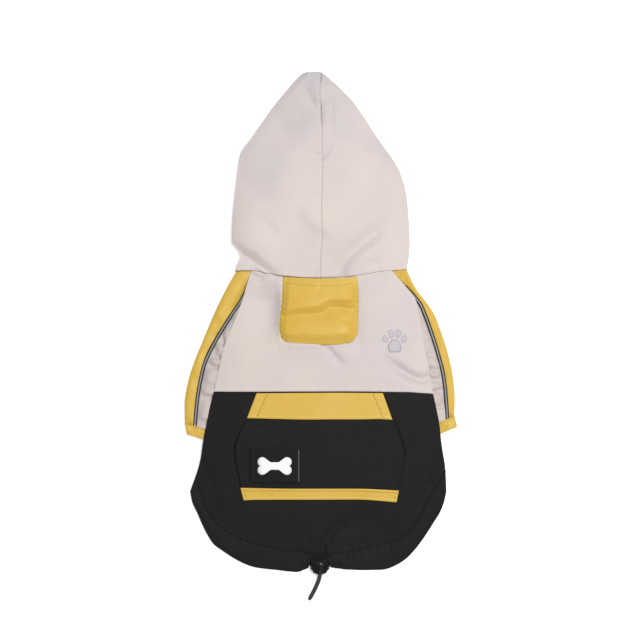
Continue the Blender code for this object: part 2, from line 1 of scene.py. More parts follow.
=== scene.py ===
# %% [markdown]
# # A small dog's raincoat, laid flat
#
# The coat is cut from thin, dense polyester: a cream hood and shoulder yoke, a black back panel with a
# patch pocket, yellow trim, black elastic at the hem. It was laid on its belly and smoothed by hand, so
# most of it is calm and the creases gather at the seams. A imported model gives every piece's place and size,
# and this file dresses it: each panel becomes a thin sheet of cloth with its own folds, seams and stitches.

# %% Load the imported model
import json
import math

import bmesh
import bpy
import numpy as np
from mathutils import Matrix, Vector
from mathutils.bvhtree import BVHTree

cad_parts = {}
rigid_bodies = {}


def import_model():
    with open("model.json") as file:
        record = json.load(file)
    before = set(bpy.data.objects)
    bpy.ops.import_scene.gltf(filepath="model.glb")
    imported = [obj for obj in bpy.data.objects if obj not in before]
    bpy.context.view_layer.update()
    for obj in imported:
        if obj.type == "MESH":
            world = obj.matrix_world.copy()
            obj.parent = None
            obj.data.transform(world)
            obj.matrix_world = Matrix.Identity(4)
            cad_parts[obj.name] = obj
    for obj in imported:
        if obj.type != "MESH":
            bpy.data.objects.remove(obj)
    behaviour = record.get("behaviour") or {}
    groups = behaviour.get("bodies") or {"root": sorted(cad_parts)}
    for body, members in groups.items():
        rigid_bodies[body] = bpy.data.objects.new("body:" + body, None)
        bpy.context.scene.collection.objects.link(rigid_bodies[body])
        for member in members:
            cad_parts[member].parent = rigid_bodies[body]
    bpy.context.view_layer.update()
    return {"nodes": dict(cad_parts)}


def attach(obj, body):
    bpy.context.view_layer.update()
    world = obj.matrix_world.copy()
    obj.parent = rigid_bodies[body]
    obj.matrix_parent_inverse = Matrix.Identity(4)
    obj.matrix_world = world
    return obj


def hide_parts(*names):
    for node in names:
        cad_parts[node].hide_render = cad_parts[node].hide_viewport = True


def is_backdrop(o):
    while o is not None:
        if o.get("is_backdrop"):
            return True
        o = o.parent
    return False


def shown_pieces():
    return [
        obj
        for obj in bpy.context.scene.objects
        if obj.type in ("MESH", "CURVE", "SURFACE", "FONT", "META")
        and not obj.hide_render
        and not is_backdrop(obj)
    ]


for leftover in list(bpy.data.objects):
    bpy.data.objects.remove(leftover)
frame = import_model()
MM = 0.001

# %% [markdown]
# ## Camera, floor and light
#
# A garment is laid out and looked at from straight above, so the camera looks down from two metres with a
# long lens, which keeps the outline free of perspective. The coat lies on a light table, whose glow keeps
# shadows faint. The light is a big soft box to the upper right, a small fill low beyond the hem and a pale
# sky all round: folds then read as gentle changes of tone, darker where they face the lower left.

# %% Camera
VIEW_WIDTH, CAMERA_HEIGHT = 0.544, 2.0
VIEW_CENTRE = (-0.0007, 0.0021)
camera = bpy.data.objects.new("camera", bpy.data.cameras.new("camera"))
bpy.context.scene.collection.objects.link(camera)
camera.location = (*VIEW_CENTRE, CAMERA_HEIGHT)
camera.data.sensor_width = 36
camera.data.lens = 36 * CAMERA_HEIGHT / VIEW_WIDTH
camera.data.clip_start, camera.data.clip_end = 0.05, 20
bpy.context.scene.camera = camera
print("lens:", round(camera.data.lens, 1), "mm")


# %% Colours and nodes
def colour(code):
    """Linear colour of an sRGB hex value."""
    parts = [int(code[i : i + 2], 16) / 255 for i in (1, 3, 5)]
    return (*[p / 12.92 if p <= 0.04045 else ((p + 0.055) / 1.055) ** 2.4 for p in parts], 1)


def add(tree, kind, links=(), **settings):
    """Adds a node. Settings are its properties, or its input sockets by name; links are (socket, source)."""
    node = tree.nodes.new("ShaderNode" + kind)
    for name, value in settings.items():
        socket = node.inputs.get(name.replace("_", " "))
        if socket is None or hasattr(node, name):
            setattr(node, name, value)
        else:
            socket.default_value = value
    for socket, source in links:
        tree.links.new(source, node.inputs[socket])
    return node


def new_material(name, **surface):
    """A material, its node tree and its shader, with the shader's constant inputs given by name."""
    material = bpy.data.materials.new(name)
    material.use_nodes = True
    shader = material.node_tree.nodes["Principled BSDF"]
    for socket, value in surface.items():
        shader.inputs[socket.replace("_", " ")].default_value = value
    return material, material.node_tree, shader


def grained(name, kind, texture, dark, light, strength, distance=0.0001, **surface):
    """A material whose shade and fine relief both follow one texture of its own space."""
    material, tree, shader = new_material(name, **surface)
    place = add(tree, "TexCoord").outputs["Object"]
    grain = add(tree, kind, [("Vector", place)], **texture).outputs["Fac"]
    tone = add(tree, "ValToRGB", [("Fac", grain)])
    tone.color_ramp.elements[0].color, tone.color_ramp.elements[1].color = colour(dark), colour(light)
    bump = add(tree, "Bump", [("Height", grain)], Strength=strength, Distance=distance)
    tree.links.new(tone.outputs["Color"], shader.inputs["Base Color"])
    tree.links.new(bump.outputs["Normal"], shader.inputs["Normal"])
    return material


def new_object(name, data, material=None):
    """An object in the scene, made of one material."""
    piece = bpy.data.objects.new(name, data)
    if material:
        data.materials.append(material)
    bpy.context.scene.collection.objects.link(piece)
    return piece


def new_mesh(name, points, faces):
    """A smooth-shaded mesh from points in millimetres."""
    mesh = bpy.data.meshes.new(name)
    mesh.from_pydata((points * MM).tolist(), [], faces)
    mesh.update()
    mesh.shade_smooth()
    return mesh


def put_on(piece, node=None):
    """Fixes a finished piece to the coat, where it stands for a node of the model if one is given."""
    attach(piece, "root")
    if node:
        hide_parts(node)


WAVES_PER_PERIOD = 0.314  # a wave texture of this scale repeats once in each unit of length


# %% Floor and light
FLOOR_Z = -0.0002  # a little under the coat, so that the two never share a plane
acrylic = new_material(
    "opal_acrylic_light_table", Base_Color=colour("#F8F8F7"), Roughness=0.9, Specular_IOR_Level=0.1,
    Emission_Color=colour("#FFFFFF"), Emission_Strength=0.4,
)[0]  # fmt: skip
form = bmesh.new()
bmesh.ops.create_grid(form, x_segments=2, y_segments=2, size=6)
floor = new_object("floor", bpy.data.meshes.new("floor"), acrylic)
form.to_mesh(floor.data)
form.free()
floor.location.z = FLOOR_Z
floor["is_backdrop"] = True

world = bpy.data.worlds.new("studio")
bpy.context.scene.world = world
world.use_nodes = True
world.node_tree.nodes["Background"].inputs["Color"].default_value = colour("#FBFBFF")
world.node_tree.nodes["Background"].inputs["Strength"].default_value = 0.42
bpy.context.scene.view_settings.view_transform = "Standard"


def soft_box(name, place, size, power):
    lamp = bpy.data.lights.new(name, "AREA")
    lamp.shape, lamp.size, lamp.energy = "SQUARE", size, power
    lamp.color = colour("#FFFCF7")[:3]
    lamp_object = new_object(name, lamp)
    lamp_object.location = place
    lamp_object.rotation_mode = "QUATERNION"
    lamp_object.rotation_quaternion = (-Vector(place)).to_track_quat("-Z", "Y")


soft_box("key_soft_box", (0.54, 0.45, 2.1), 0.6, 38.5)
soft_box("low_fill", (0.1, -1.5, 1.3), 0.25, 2.5)
print("light: pale sky, a soft box and a small fill")

# %% [markdown]
# ## The hem cord
#
# A thin elastic cord runs through the hem's casing, leaves it at a small mouth in the middle and goes
# through a cord lock. Only its tail shows, 36 mm with its end melted so that it doesn't fray. A curve with
# a round bevel is the natural choice for a cord, because its own line says how long it is.

# %% Cord
CORD_DIAMETER = 3.6
CORD_ROUTE = [
    (-0.8, -201.9, 5.0), (-0.8, -204.6, 5.0), (-0.8, -207.5, 5.0), (-0.8, -210.6, 5.0), (-0.8, -213.8, 5.0),
    (-0.95, -215.2, 4.75), (-1.2, -216.6, 4.4), (-1.6, -218.1, 3.95), (-2.0, -219.5, 3.5), (-3.2, -222.4, 2.6),
    (-4.5, -225.3, 2.05), (-5.9, -228.2, 1.9), (-7.4, -231.0, 1.9), (-8.9, -233.7, 1.9), (-10.0, -235.6, 1.9),
]  # fmt: skip


def stroke(name, route, diameter, material):
    curve = bpy.data.curves.new(name, "CURVE")
    curve.dimensions, curve.bevel_depth = "3D", diameter * MM / 2
    curve.bevel_resolution, curve.use_fill_caps = 5, True
    spline = curve.splines.new("POLY")
    spline.points.add(len(route) - 1)
    for point, place in zip(spline.points, route):
        point.co = (*[x * MM for x in place], 1)
    spline.use_smooth = True
    return new_object(name, curve, material)


BRAID = grained(
    "braided_polyester_cord", "TexWave", dict(bands_direction="DIAGONAL", Scale=520.0, Distortion=0.6),
    "#1B1B1D", "#4A4A4D", 0.5, 0.0003, Roughness=0.75, Specular_IOR_Level=0.25,
)  # fmt: skip
cord = stroke("hem_cord_tail", CORD_ROUTE, CORD_DIAMETER, BRAID)
cord.data.splines[0].points[-1].radius = 0.6  # the melted end
put_on(cord, "hem_cord")
print("cord:", round(sum(math.dist(a, b) for a, b in zip(CORD_ROUTE, CORD_ROUTE[1:])), 1), "mm")

# %% [markdown]
# ## How a panel of cloth is made
#
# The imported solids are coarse: walls 1.2 mm thick, with facets of about 8 mm. Cloth simulation would also
# do for wrinkles, but a coat that was smoothed flat has few of them, each in a known place. So each panel
# is a fine grid of points that fills the outline of its solid (a Coons patch: four edges, and the middle
# blended from them). The height comes from the solid, smoothed, and the folds are added to it from tables
# in millimetres. Solidify then gives the sheet its thickness.

# %% Lines
def even(count):
    """Shares from 0 to 1 in even steps."""
    return np.linspace(0, 1, count + 1)


def limited(value):
    return np.clip(value, 0, 1)


def hump(value):
    """1 in the middle, fading evenly to both sides."""
    return np.exp(-(value**2))


def smooth_line(points, shares):
    """A smooth line through the points, read at shares (0 to 1) of its length."""
    points = np.asarray(points, float)
    ends = np.concatenate([[2 * points[0] - points[1]], points, [2 * points[-1] - points[-2]]])
    t = np.linspace(0, 1, 9)[:-1, None]
    pieces = [
        0.5 * (2 * b + (c - a) * t + (2 * a - 5 * b + 4 * c - d) * t**2 + (3 * b - a - 3 * c + d) * t**3)
        for a, b, c, d in zip(ends, ends[1:], ends[2:], ends[3:])
    ]
    line = np.concatenate(pieces + [points[-1:]])
    reach = np.concatenate([[0], np.cumsum(np.linalg.norm(np.diff(line, axis=0), axis=1))])
    at = np.asarray(shares, float) * reach[-1]
    return np.stack([np.interp(at, reach, line[:, k]) for k in range(points.shape[1])], axis=1)


def length_of(line):
    return float(np.linalg.norm(np.diff(np.asarray(line, float), axis=0), axis=1).sum())


def near(points, line):
    """For each point: distance to the line, its side (1 left, -1 right), and share of the line's length."""
    line = np.asarray(line, float)
    a, span = line[:-1], np.diff(line, axis=0)
    long = np.maximum(np.linalg.norm(span, axis=1), 1e-9)
    to_point = points[..., None, :] - a
    t = limited((to_point * span).sum(-1) / long**2)
    gap = to_point - t[..., None] * span
    away = np.linalg.norm(gap, axis=-1)
    nearest = away.argmin(-1)[..., None]
    pick = lambda values: np.take_along_axis(values, nearest, -1)[..., 0]
    before = np.concatenate([[0], np.cumsum(long)])
    share = (before[:-1] + t * long) / before[-1]
    cross = span[:, 0] * to_point[..., 1] - span[:, 1] * to_point[..., 0]
    return pick(away), np.where(pick(cross) >= 0, 1, -1), pick(share)


# %% Outline of a node
SPUR = -0.96  # cosine of a turn so sharp that it can only be a spur


def outline(node, way=1, floor_z=0.0, ceiling_z=99.0):
    """The outline in plan, in millimetres, of a node's outer cloth that faces up (way 1) or down (-1)."""
    form = bmesh.new()
    form.from_mesh(frame["nodes"][node].data)
    bmesh.ops.remove_doubles(form, verts=form.verts, dist=0.00002)
    form.normal_update()
    form.verts.index_update()
    kept = {
        face
        for face in form.faces
        if face.normal.z * way > 0.1
        and all(floor_z - 0.02 <= v.co.z / MM <= ceiling_z + 0.02 for v in face.verts)
    }
    beside = {}
    for edge in form.edges:
        if sum(face in kept for face in edge.link_faces) == 1:
            a, b = (v.index for v in edge.verts)
            beside.setdefault(a, []).append(b)
            beside.setdefault(b, []).append(a)
    loops, left = [], set(beside)
    while left:
        loop = [left.pop()]
        while True:
            onward = [v for v in beside[loop[-1]] if v in left]
            if not onward:
                break
            loop.append(onward[0])
            left.discard(onward[0])
        loops.append(loop)
    form.verts.ensure_lookup_table()
    loop = np.array([form.verts[v].co[:2] for v in max(loops, key=len)]) / MM
    form.free()
    while True:  # slivers at cut edges leave spurs that run out and straight back
        before, after = loop - np.roll(loop, 1, axis=0), np.roll(loop, -1, axis=0) - loop
        lengths = np.linalg.norm(before, axis=1) * np.linalg.norm(after, axis=1)
        turn = (before * after).sum(1) / (lengths + 1e-9)
        if turn.min() > SPUR:
            break
        loop = np.delete(loop, turn.argmin(), axis=0)
    x, y = loop.T
    clockwise = (x * np.roll(y, -1) - y * np.roll(x, -1)).sum() < 0
    return loop if clockwise else loop[::-1]


def four_sides(loop, corners):
    """Top, bottom, left and right of an outline. Corners: top left and right, bottom left and right."""
    at = [int(np.linalg.norm(loop - corner, axis=1).argmin()) for corner in np.asarray(corners, float)]

    def run(a, b):
        steps = (b - a) % len(loop)
        return loop[(a + np.arange(steps + 1)) % len(loop)]

    top_left, top_right, bottom_left, bottom_right = at
    if (top_right - top_left) % len(loop) > (bottom_right - top_left) % len(loop):
        loop, at = loop[::-1], [len(loop) - 1 - i for i in at]
        top_left, top_right, bottom_left, bottom_right = at
    top, right = run(top_left, top_right), run(top_right, bottom_right)
    return top, run(bottom_right, bottom_left)[::-1], run(bottom_left, top_left)[::-1], right


# %% A patch and its height
def patch(top, bottom, left, right, across, down):
    """Grid of points in plan that fills four edges: columns at shares `across`, rows at shares `down`."""
    top, bottom = smooth_line(top, across), smooth_line(bottom, across)
    left, right = smooth_line(left, down), smooth_line(right, down)
    u, v = np.asarray(across, float)[None, :, None], np.asarray(down, float)[:, None, None]
    ruled = (1 - v) * top[None] + v * bottom[None] + (1 - u) * left[:, None] + u * right[:, None]
    corners = (1 - v) * ((1 - u) * top[0] + u * top[-1]) + v * ((1 - u) * bottom[0] + u * bottom[-1])
    return ruled - corners


def tree_of(thing):
    """A search tree of a mesh, in millimetres, modifiers included."""
    graph = bpy.context.evaluated_depsgraph_get()
    mesh = thing.evaluated_get(graph).to_mesh()
    tree = BVHTree.FromPolygons([v.co / MM for v in mesh.vertices], [p.vertices[:] for p in mesh.polygons])
    thing.evaluated_get(graph).to_mesh_clear()
    return tree


SKY = 80.0  # mm, well above the coat


def cast(tree, points):
    """Height of the first surface met from above. It is nan where there is none."""
    flat = points.reshape(-1, points.shape[-1])[:, :2]
    found = [tree.ray_cast((x, y, SKY), (0, 0, -1))[0] for x, y in flat.tolist()]
    return np.array([hit.z if hit else np.nan for hit in found]).reshape(points.shape[:-1])


def height_on(node, points):
    return cast(tree_of(frame["nodes"][node]), points)


def settled(height, passes=22):
    """Fills the gaps of a grid of heights from their neighbours, then smooths away the solid's facets."""
    height = height.copy()
    while np.isnan(height).any():
        padded = np.pad(height, 1, constant_values=np.nan)
        stack = np.stack([padded[1:-1, :-2], padded[1:-1, 2:], padded[:-2, 1:-1], padded[2:, 1:-1]])
        count = (~np.isnan(stack)).sum(0)
        mean = np.where(count > 0, np.nansum(stack, axis=0) / np.maximum(count, 1), np.nan)
        height = np.where(np.isnan(height), mean, height)
    for _ in range(passes):
        padded = np.pad(height, 1, mode="reflect", reflect_type="odd")
        height = (padded[:, :-2] + 2 * padded[:, 1:-1] + padded[:, 2:])[1:-1] / 4
        padded = np.pad(height, 1, mode="reflect", reflect_type="odd")
        height = (padded[:-2] + 2 * padded[1:-1] + padded[2:])[:, 1:-1] / 4
    return height


# %% Folds
def ripple(points, size, seed):
    """Smooth uneven noise from -1 to 1, whose humps are about `size` millimetres across."""
    lattice = np.random.default_rng(seed).uniform(-1, 1, (128, 128))
    place = points[..., :2] / size + 64
    cell = np.floor(place).astype(int)
    part = place - cell
    part = part**3 * (part * (part * 6 - 15) + 10)
    i, j = cell[..., 0] % 128, cell[..., 1] % 128
    i1, j1 = (i + 1) % 128, (j + 1) % 128
    low = lattice[i, j] * (1 - part[..., 0]) + lattice[i1, j] * part[..., 0]
    high = lattice[i, j1] * (1 - part[..., 0]) + lattice[i1, j1] * part[..., 0]
    return low * (1 - part[..., 1]) + high * part[..., 1]


def creases(points, table):
    """The height that listed creases add: each is a path, its width to the left and to the right, its
    height in the middle (below 0 for a trough), and the share that is left of it at the path's two ends."""
    added = np.zeros(points.shape[:-1])
    for path, wide_left, wide_right, height, first, last in table:
        line = smooth_line(path, np.linspace(0, 1, 17))
        away, side, share = near(points[..., :2], line)
        ends = first + (1 - first) * limited(share / 0.35) ** 1.5
        ends *= last + (1 - last) * limited((1 - share) / 0.35) ** 1.5
        wide = np.where(side > 0, wide_left, wide_right)
        added += height * ends * hump(away / wide)
    return added


def ledge(points, path, wide, slope, back):
    """A fold that steps down on the right of its path: an even slope, whose width is given at the path's two
    ends, and then a slow climb back over `back` millimetres."""
    away, side, share = near(points[..., :2], smooth_line(path, even(24)))
    wide = wide[0] + (wide[1] - wide[0]) * share
    climb = limited((away - wide) / back)
    return np.where(side < 0, -slope * (np.minimum(away, wide) - wide * np.sin(climb * np.pi / 2)), 0)


def puckers(points, line, wave, height, reach, seed):
    """Short uneven ripples across a seam, where the thread draws the cloth in. They fade over `reach`."""
    away, _, share = near(points[..., :2], line)
    along = share * length_of(line)
    spot = np.stack([along, np.full_like(along, 7.3 * seed)], axis=-1)
    drift = ripple(spot, wave * 2.2, seed) * 2.6
    rise = np.sin(2 * np.pi * along / wave + drift) * (0.55 + 0.45 * ripple(spot, wave * 3, seed + 1))
    return height * rise * np.exp(-((away / reach) ** 1.4))


def crumple(points, seed, broad=0.35, fine=0.08):
    """The slight unevenness that smoothed cloth keeps: broad humps, and finer ones with sharper backs."""
    bend = points[..., :2] + 6 * np.stack([ripple(points, 40, seed), ripple(points, 40, seed + 1)], axis=-1)
    sharp = 1 - 2 * np.abs(ripple(bend, 17, seed + 2)) ** 0.8
    return broad * ripple(bend, 34, seed + 3) + fine * sharp


# %% From grid to cloth
CLOTH_THICK = 0.45  # pongee with its coating


def turn_down(grid, side, deep, out=0.25):
    """Adds rows at one side of a sheet that bend down, as cloth does into a seam or round a hem."""
    there = {"top": grid, "bottom": grid[::-1], "left": grid.swapaxes(0, 1)}
    grid = there.get(side, grid[:, ::-1].swapaxes(0, 1))
    edge, way = grid[0], grid[0] - grid[1]
    way[:, 2] = 0
    way /= np.maximum(np.linalg.norm(way, axis=1, keepdims=True), 1e-9)
    rows = []
    for angle in np.radians([100, 70, 35]):
        row = edge + way * out * math.sin(angle)
        row[:, 2] -= deep * (1 - math.cos(angle))
        row[:, 2] = np.maximum(row[:, 2], np.minimum(edge[:, 2], 0.5))
        rows.append(row)
    grid = np.concatenate([np.array(rows), grid])
    back = {"top": grid, "bottom": grid[::-1], "left": grid.swapaxes(0, 1)}
    return back.get(side, grid.swapaxes(0, 1)[:, ::-1])


def hemmed(grid, **deep):
    """A sheet whose sides all bend down, each by its own depth in millimetres."""
    for side, depth in deep.items():
        grid = turn_down(grid, side, depth)
    return grid


def thicken(piece, thickness):
    wall = piece.modifiers.new("thickness", "SOLIDIFY")
    wall.thickness, wall.offset = thickness * MM, -1


def mend(piece, work):
    """Runs a mesh edit on a piece, then turns all its faces outwards."""
    form = bmesh.new()
    form.from_mesh(piece.data)
    work(form)
    bmesh.ops.recalc_face_normals(form, faces=form.faces)
    form.to_mesh(piece.data)
    form.free()


def sheet_object(name, grid, cloth, ring=False, thickness=CLOTH_THICK):
    """A sheet of quads on a grid of points in millimetres, given its thickness by Solidify."""
    rows, columns = grid.shape[:2]
    index = np.arange(rows * columns).reshape(rows, columns)
    if ring:
        index = np.concatenate([index, index[:, :1]], axis=1)
    quads = np.stack([index[:-1, :-1], index[:-1, 1:], index[1:, 1:], index[1:, :-1]], axis=-1).reshape(-1, 4)
    mesh = new_mesh(name, grid.reshape(-1, 3), quads.tolist())
    facing = np.array([p.normal.z * p.area for p in mesh.polygons]).reshape(rows - 1, -1)
    if facing[:, : columns // 4].sum() < 0:  # the first columns are the upper layer
        mesh.flip_normals()
    piece = new_object(name, mesh, cloth)
    if thickness:
        thicken(piece, thickness)
    return piece


def area_of(grid):
    """Area of a sheet in square metres."""
    a, b, c, d = grid[:-1, :-1], grid[:-1, 1:], grid[1:, 1:], grid[1:, :-1]
    return float(np.linalg.norm(np.cross(c - a, d - b), axis=-1).sum() / 2) * MM**2


PANELS = {}
LOWEST = 0.02  # mm above the floor that any sheet may come to


def dress(name, grid, cloth, node, slot, flat, area, rests_on, **form):
    grid[..., 2] = np.maximum(grid[..., 2], LOWEST)
    piece = sheet_object(name, grid, cloth, **form)
    put_on(piece, node)
    PANELS[name] = piece
    lengths = [round(length_of(line), 1) for line in (grid[0], grid[-1], grid[:, 0], grid[:, -1])]
    print(f"{name}: {grid.shape[0]} x {grid.shape[1]} points, {area_of(grid):.5f} m2, edges {lengths} mm")


# %% [markdown]
# ## Coated polyester pongee
#
# Pongee is a plain weave of very fine polyester yarn, about 0.12 mm from thread to thread, dyed in the
# piece and coated on the back against rain. To the eye it is smooth and softly matt, with a faint bloom
# where the surface turns away. Its weave is too fine to show, so it is drawn five times as coarse and very
# shallow. A slow drift between two near shades stands for the way the coating takes light.

# %% Pongee
THREAD_DRAWN = 0.6  # mm from thread to thread as drawn; the real weave has 0.12


def pongee(name, warm, cool, roughness, specular, sheen, tip=None):
    """Pongee that drifts between two shades and, where a third shade is given, turns towards it at the tip of
    the hood: painted shade.
    """
    material, tree, shader = new_material(
        name, Roughness=roughness, Specular_IOR_Level=specular, Sheen_Weight=sheen, Sheen_Roughness=0.45
    )
    place = add(tree, "TexCoord").outputs["Object"]
    drift = add(tree, "TexNoise", [("Vector", place)], Scale=22.0, Detail=2.0, Roughness=0.45)
    shade = drift.outputs["Fac"]
    if tip:
        # painted shade: the colour darkens from y 115 mm up to the hood's tip at 205 mm
        height = add(tree, "SeparateXYZ", [("Vector", place)]).outputs["Y"]
        reach = add(tree, "MapRange", [("Value", height)], From_Min=0.115, From_Max=0.205, To_Max=0.42)
        shade = add(tree, "Math", [(0, shade), (1, reach.outputs["Result"])], operation="ADD").outputs[0]
    tone = add(tree, "ValToRGB", [("Fac", shade)])
    tone.color_ramp.elements[0].position, tone.color_ramp.elements[1].position = 0.35, 0.62
    tone.color_ramp.elements[0].color, tone.color_ramp.elements[1].color = colour(warm), colour(cool)
    if tip:
        tone.color_ramp.elements.new(1.0).color = colour(tip)
    scale = WAVES_PER_PERIOD / (THREAD_DRAWN * MM)
    warp, weft = [
        add(tree, "TexWave", [("Vector", place)], bands_direction=way, Scale=scale, Distortion=0.3)
        for way in "XY"
    ]
    weave = add(tree, "Math", [(0, warp.outputs["Fac"]), (1, weft.outputs["Fac"])], operation="MAXIMUM")
    crinkle = add(tree, "TexNoise", [("Vector", place)], Scale=260.0, Detail=3.0, Roughness=0.5)
    fine = add(tree, "Bump", [("Height", weave.outputs[0])], Strength=0.1, Distance=0.0001)
    soft = add(
        tree, "Bump", [("Height", crinkle.outputs["Fac"]), ("Normal", fine.outputs["Normal"])],
        Strength=0.12, Distance=0.0006,
    )  # fmt: skip
    tree.links.new(tone.outputs["Color"], shader.inputs["Base Color"])
    tree.links.new(soft.outputs["Normal"], shader.inputs["Normal"])
    return material


CREAM = pongee("polyester_pongee_cream", "#CEC5BF", "#C9C0BF", 0.6, 0.28, 0.08)
# The hood's cloth turns darker and cooler towards its tip: this is painted shade, not a change in the cloth.
CREAM_HOOD_PAINTED_TIP_SHADE = pongee("polyester_pongee_cream_hood_painted_tip_shade", "#D0C6C1", "#CBC1C0", 0.6, 0.28, 0.08, "#B8B4B7")
# A greyer copy of the cream for the sleeve panels, which lie in shade beside the body: painted shade.
CREAM_PAINTED_SHADE = pongee("polyester_pongee_cream_painted_shade", "#C8BEB9", "#C3B9B7", 0.64, 0.24, 0.06)
YELLOW = pongee("polyester_pongee_yellow", "#CCA83E", "#CFAC48", 0.52, 0.42, 0.03)
BLACK = pongee("polyester_pongee_black", "#1C1C1C", "#1E1E1E", 0.68, 0.1, 0.0)
print("cloth:", CREAM.name, YELLOW.name, BLACK.name)


# %% Plain and folded panels
def plain(node, corners, columns, rows):
    """Plan and smoothed height of a panel that lies open."""
    plan = patch(*four_sides(outline(node), corners), even(columns), even(rows))
    return plan, settled(height_on(node, plan))


ROLL = 1.2  # mm, the height of a single rolled edge


def rounded(away, radius):
    """The height share of a quarter circle, from 0 at its edge to 1 a radius away."""
    return np.sqrt(1 - (1 - limited(away / radius)) ** 2)


def towards_roll(columns):
    """Shares across an upper layer, closer together towards its rolled edge."""
    return 1 - (1 - even(columns)) ** 1.5


def from_roll(columns):
    """Shares across the layer below, closer together at the rolled edge."""
    return even(columns) ** 1.6


def layers(node, upper, lower, columns, under_columns, rows, middle):
    """The plans of a rolled panel's upper and lower layer, which meet at the height `middle`."""
    over = patch(*four_sides(outline(node, 1, middle), upper), towards_roll(columns), even(rows))
    return over, patch(*four_sides(outline(node, -1, 0, middle), lower), from_roll(under_columns), even(rows))


def folded(node, over, under, middle, added, passes=22, soft=0.0, crown=1.0):
    """A panel that rolls under at its right side, from the plans of its upper and lower layer. `middle` is
    the height of the rolled edge, and `added` gives what folds add to the upper layer. With `soft`, the roll
    is small and the layer rises over that many millimetres. `crown` is the share that the cloth keeps of the
    solid's height above 3 mm."""
    rim = over[:, -1]
    away = near(over, rim)[0]
    height = height_on(node, over)
    height[away < middle * 1.05] = np.nan
    height = 3 + (settled(height, passes) - 3) * crown + added(over, away)
    share = rounded(away, middle)
    if soft:
        share = 0.85 * rounded(away, 0.2) + 0.15 * np.sin(limited(away / soft) * np.pi / 2)
    top = middle + np.maximum(height - middle, 0.6) * share
    under[:, 0] = rim
    below = middle - (middle - 0.02) * rounded(near(under, rim)[0], middle)
    return np.concatenate([with_z(over, top), with_z(under, below)[:, 1:]], axis=1)


def with_z(plan, height):
    return np.concatenate([plan, height[..., None]], axis=-1)


# Each crosswise seam of the back lies a little above its place in the solid: y there, and how far by x in mm
SEAM_RISE = [
    (-30.0, {0: 0}),
    (-60.5, {-91: 0.6, -52: 1.0, -17: 1.7, 17: 2.2, 76: 2.2, 84: 1.6, 93: 1.2, 97: 0.3}),
    (-82.5, {-62: 0.9, -17: 1.0, 8: 1.3, 34: 1.0, 50: 1.1, 60: 0.35}),
    (-141.5, {-88: 0, -70: 0.5, 66: 0.5, 82: 0}),
    (-152.0, {-84: 0, -68: 1.3, -58: 1.9, 40: 1.7, 64: 1.2, 78: 0}),
    (-176.0, {0: 0}),
]


def as_sewn(points):
    """Moves points of the back with its crosswise seams."""
    points = np.array(points, float)
    x, y, moved, last, last_y = points[..., 0], points[..., 1], 0, 0, -20.0
    for seam_y, table in SEAM_RISE:
        rise = np.interp(x, list(table), list(table.values()))
        moved = moved + (rise - last) * limited((last_y - y) / (last_y - seam_y))
        last, last_y = rise, seam_y
    points[..., 1] = y + moved
    return points


# %% [markdown]
# ## Hood
#
# Two mirrored halves of cloth are sewn together along the top of the head, and the front opening lies
# underneath. Laid flat, the hood keeps a soft crown: a deep fold runs across its lower left corner, a
# trough crosses the lower right one, and the centre seam draws in small dimples. Each half is one sheet
# that runs from the seam over the side and under to the opening, so its edge is a true roll.

# %% Hood edges
NECK_LINE = np.array([
    (-73, 44.0), (-56, 44.2), (-43, 41.2), (-30, 39.4), (-14, 38.1),
    (2, 37.7), (18, 38.6), (34, 40.4), (51, 43.4), (73, 45.0),
])  # fmt: skip
HOOD_SEAM = np.array([
    (-0.5, 38), (-0.5, 52), (1.1, 72), (0.3, 95), (1.4, 135), (0.8, 170), (-0.9, 194), (0.3, 212),
])  # fmt: skip
HOOD_RIM = {  # from the neck to the tip
    "left": [
        (-72.6, 44.0), (-71.0, 49.3), (-69.3, 53.0), (-68.0, 56.4), (-69.0, 59.7), (-71.8, 62.9), (-74.8, 66.3),
        (-75.6, 69.5), (-75.5, 80.0), (-74.6, 93.5), (-72.3, 113.9), (-70.4, 129.5), (-68.7, 141.1),
        (-65.9, 147.6), (-60.3, 154.7), (-50.7, 168.3), (-41.1, 181.9), (-30.1, 195.5), (-23.5, 203.2),
        (-18.6, 208.4), (-16.4, 210.3),
    ],
    "right": [
        (73.2, 45.0), (74.2, 51.0), (75.2, 58.0), (75.6, 68.0), (75.2, 82.0), (74.4, 93.5), (73.2, 106.0),
        (71.2, 116.0), (67.6, 127.0), (63.9, 134.3), (59.4, 141.1), (54.4, 147.9), (45.2, 161.2), (36.3, 175.1),
        (26.3, 188.7), (19.6, 195.6), (13.1, 202.3), (9.6, 205.0), (7.0, 207.3),
    ],
}  # fmt: skip
HOOD_TIP = {
    "left": [(0.1, 212.1), (-5.5, 212.2), (-11.6, 211.8), (-14.6, 211.2), (-16.4, 210.3)],
    "right": [(0.5, 212.1), (2.6, 210.7), (4.6, 209.2), (7.0, 207.3)],
}
OPENING = {38: 0.6, 52: 7, 72: 21, 95: 31, 135: 36, 170: 24, 194: 8, 212: 0.8}  # half its width, by y


def seam_x(y):
    return np.interp(y, HOOD_SEAM[:, 1], HOOD_SEAM[:, 0])


def seam_open(y):
    """How much the seam gapes: 1 where the thread pulls at the cloth, 0 where it lies shut."""
    return hump((y - 175) / 6.5) + 0.5 * hump((y - 205) / 3)


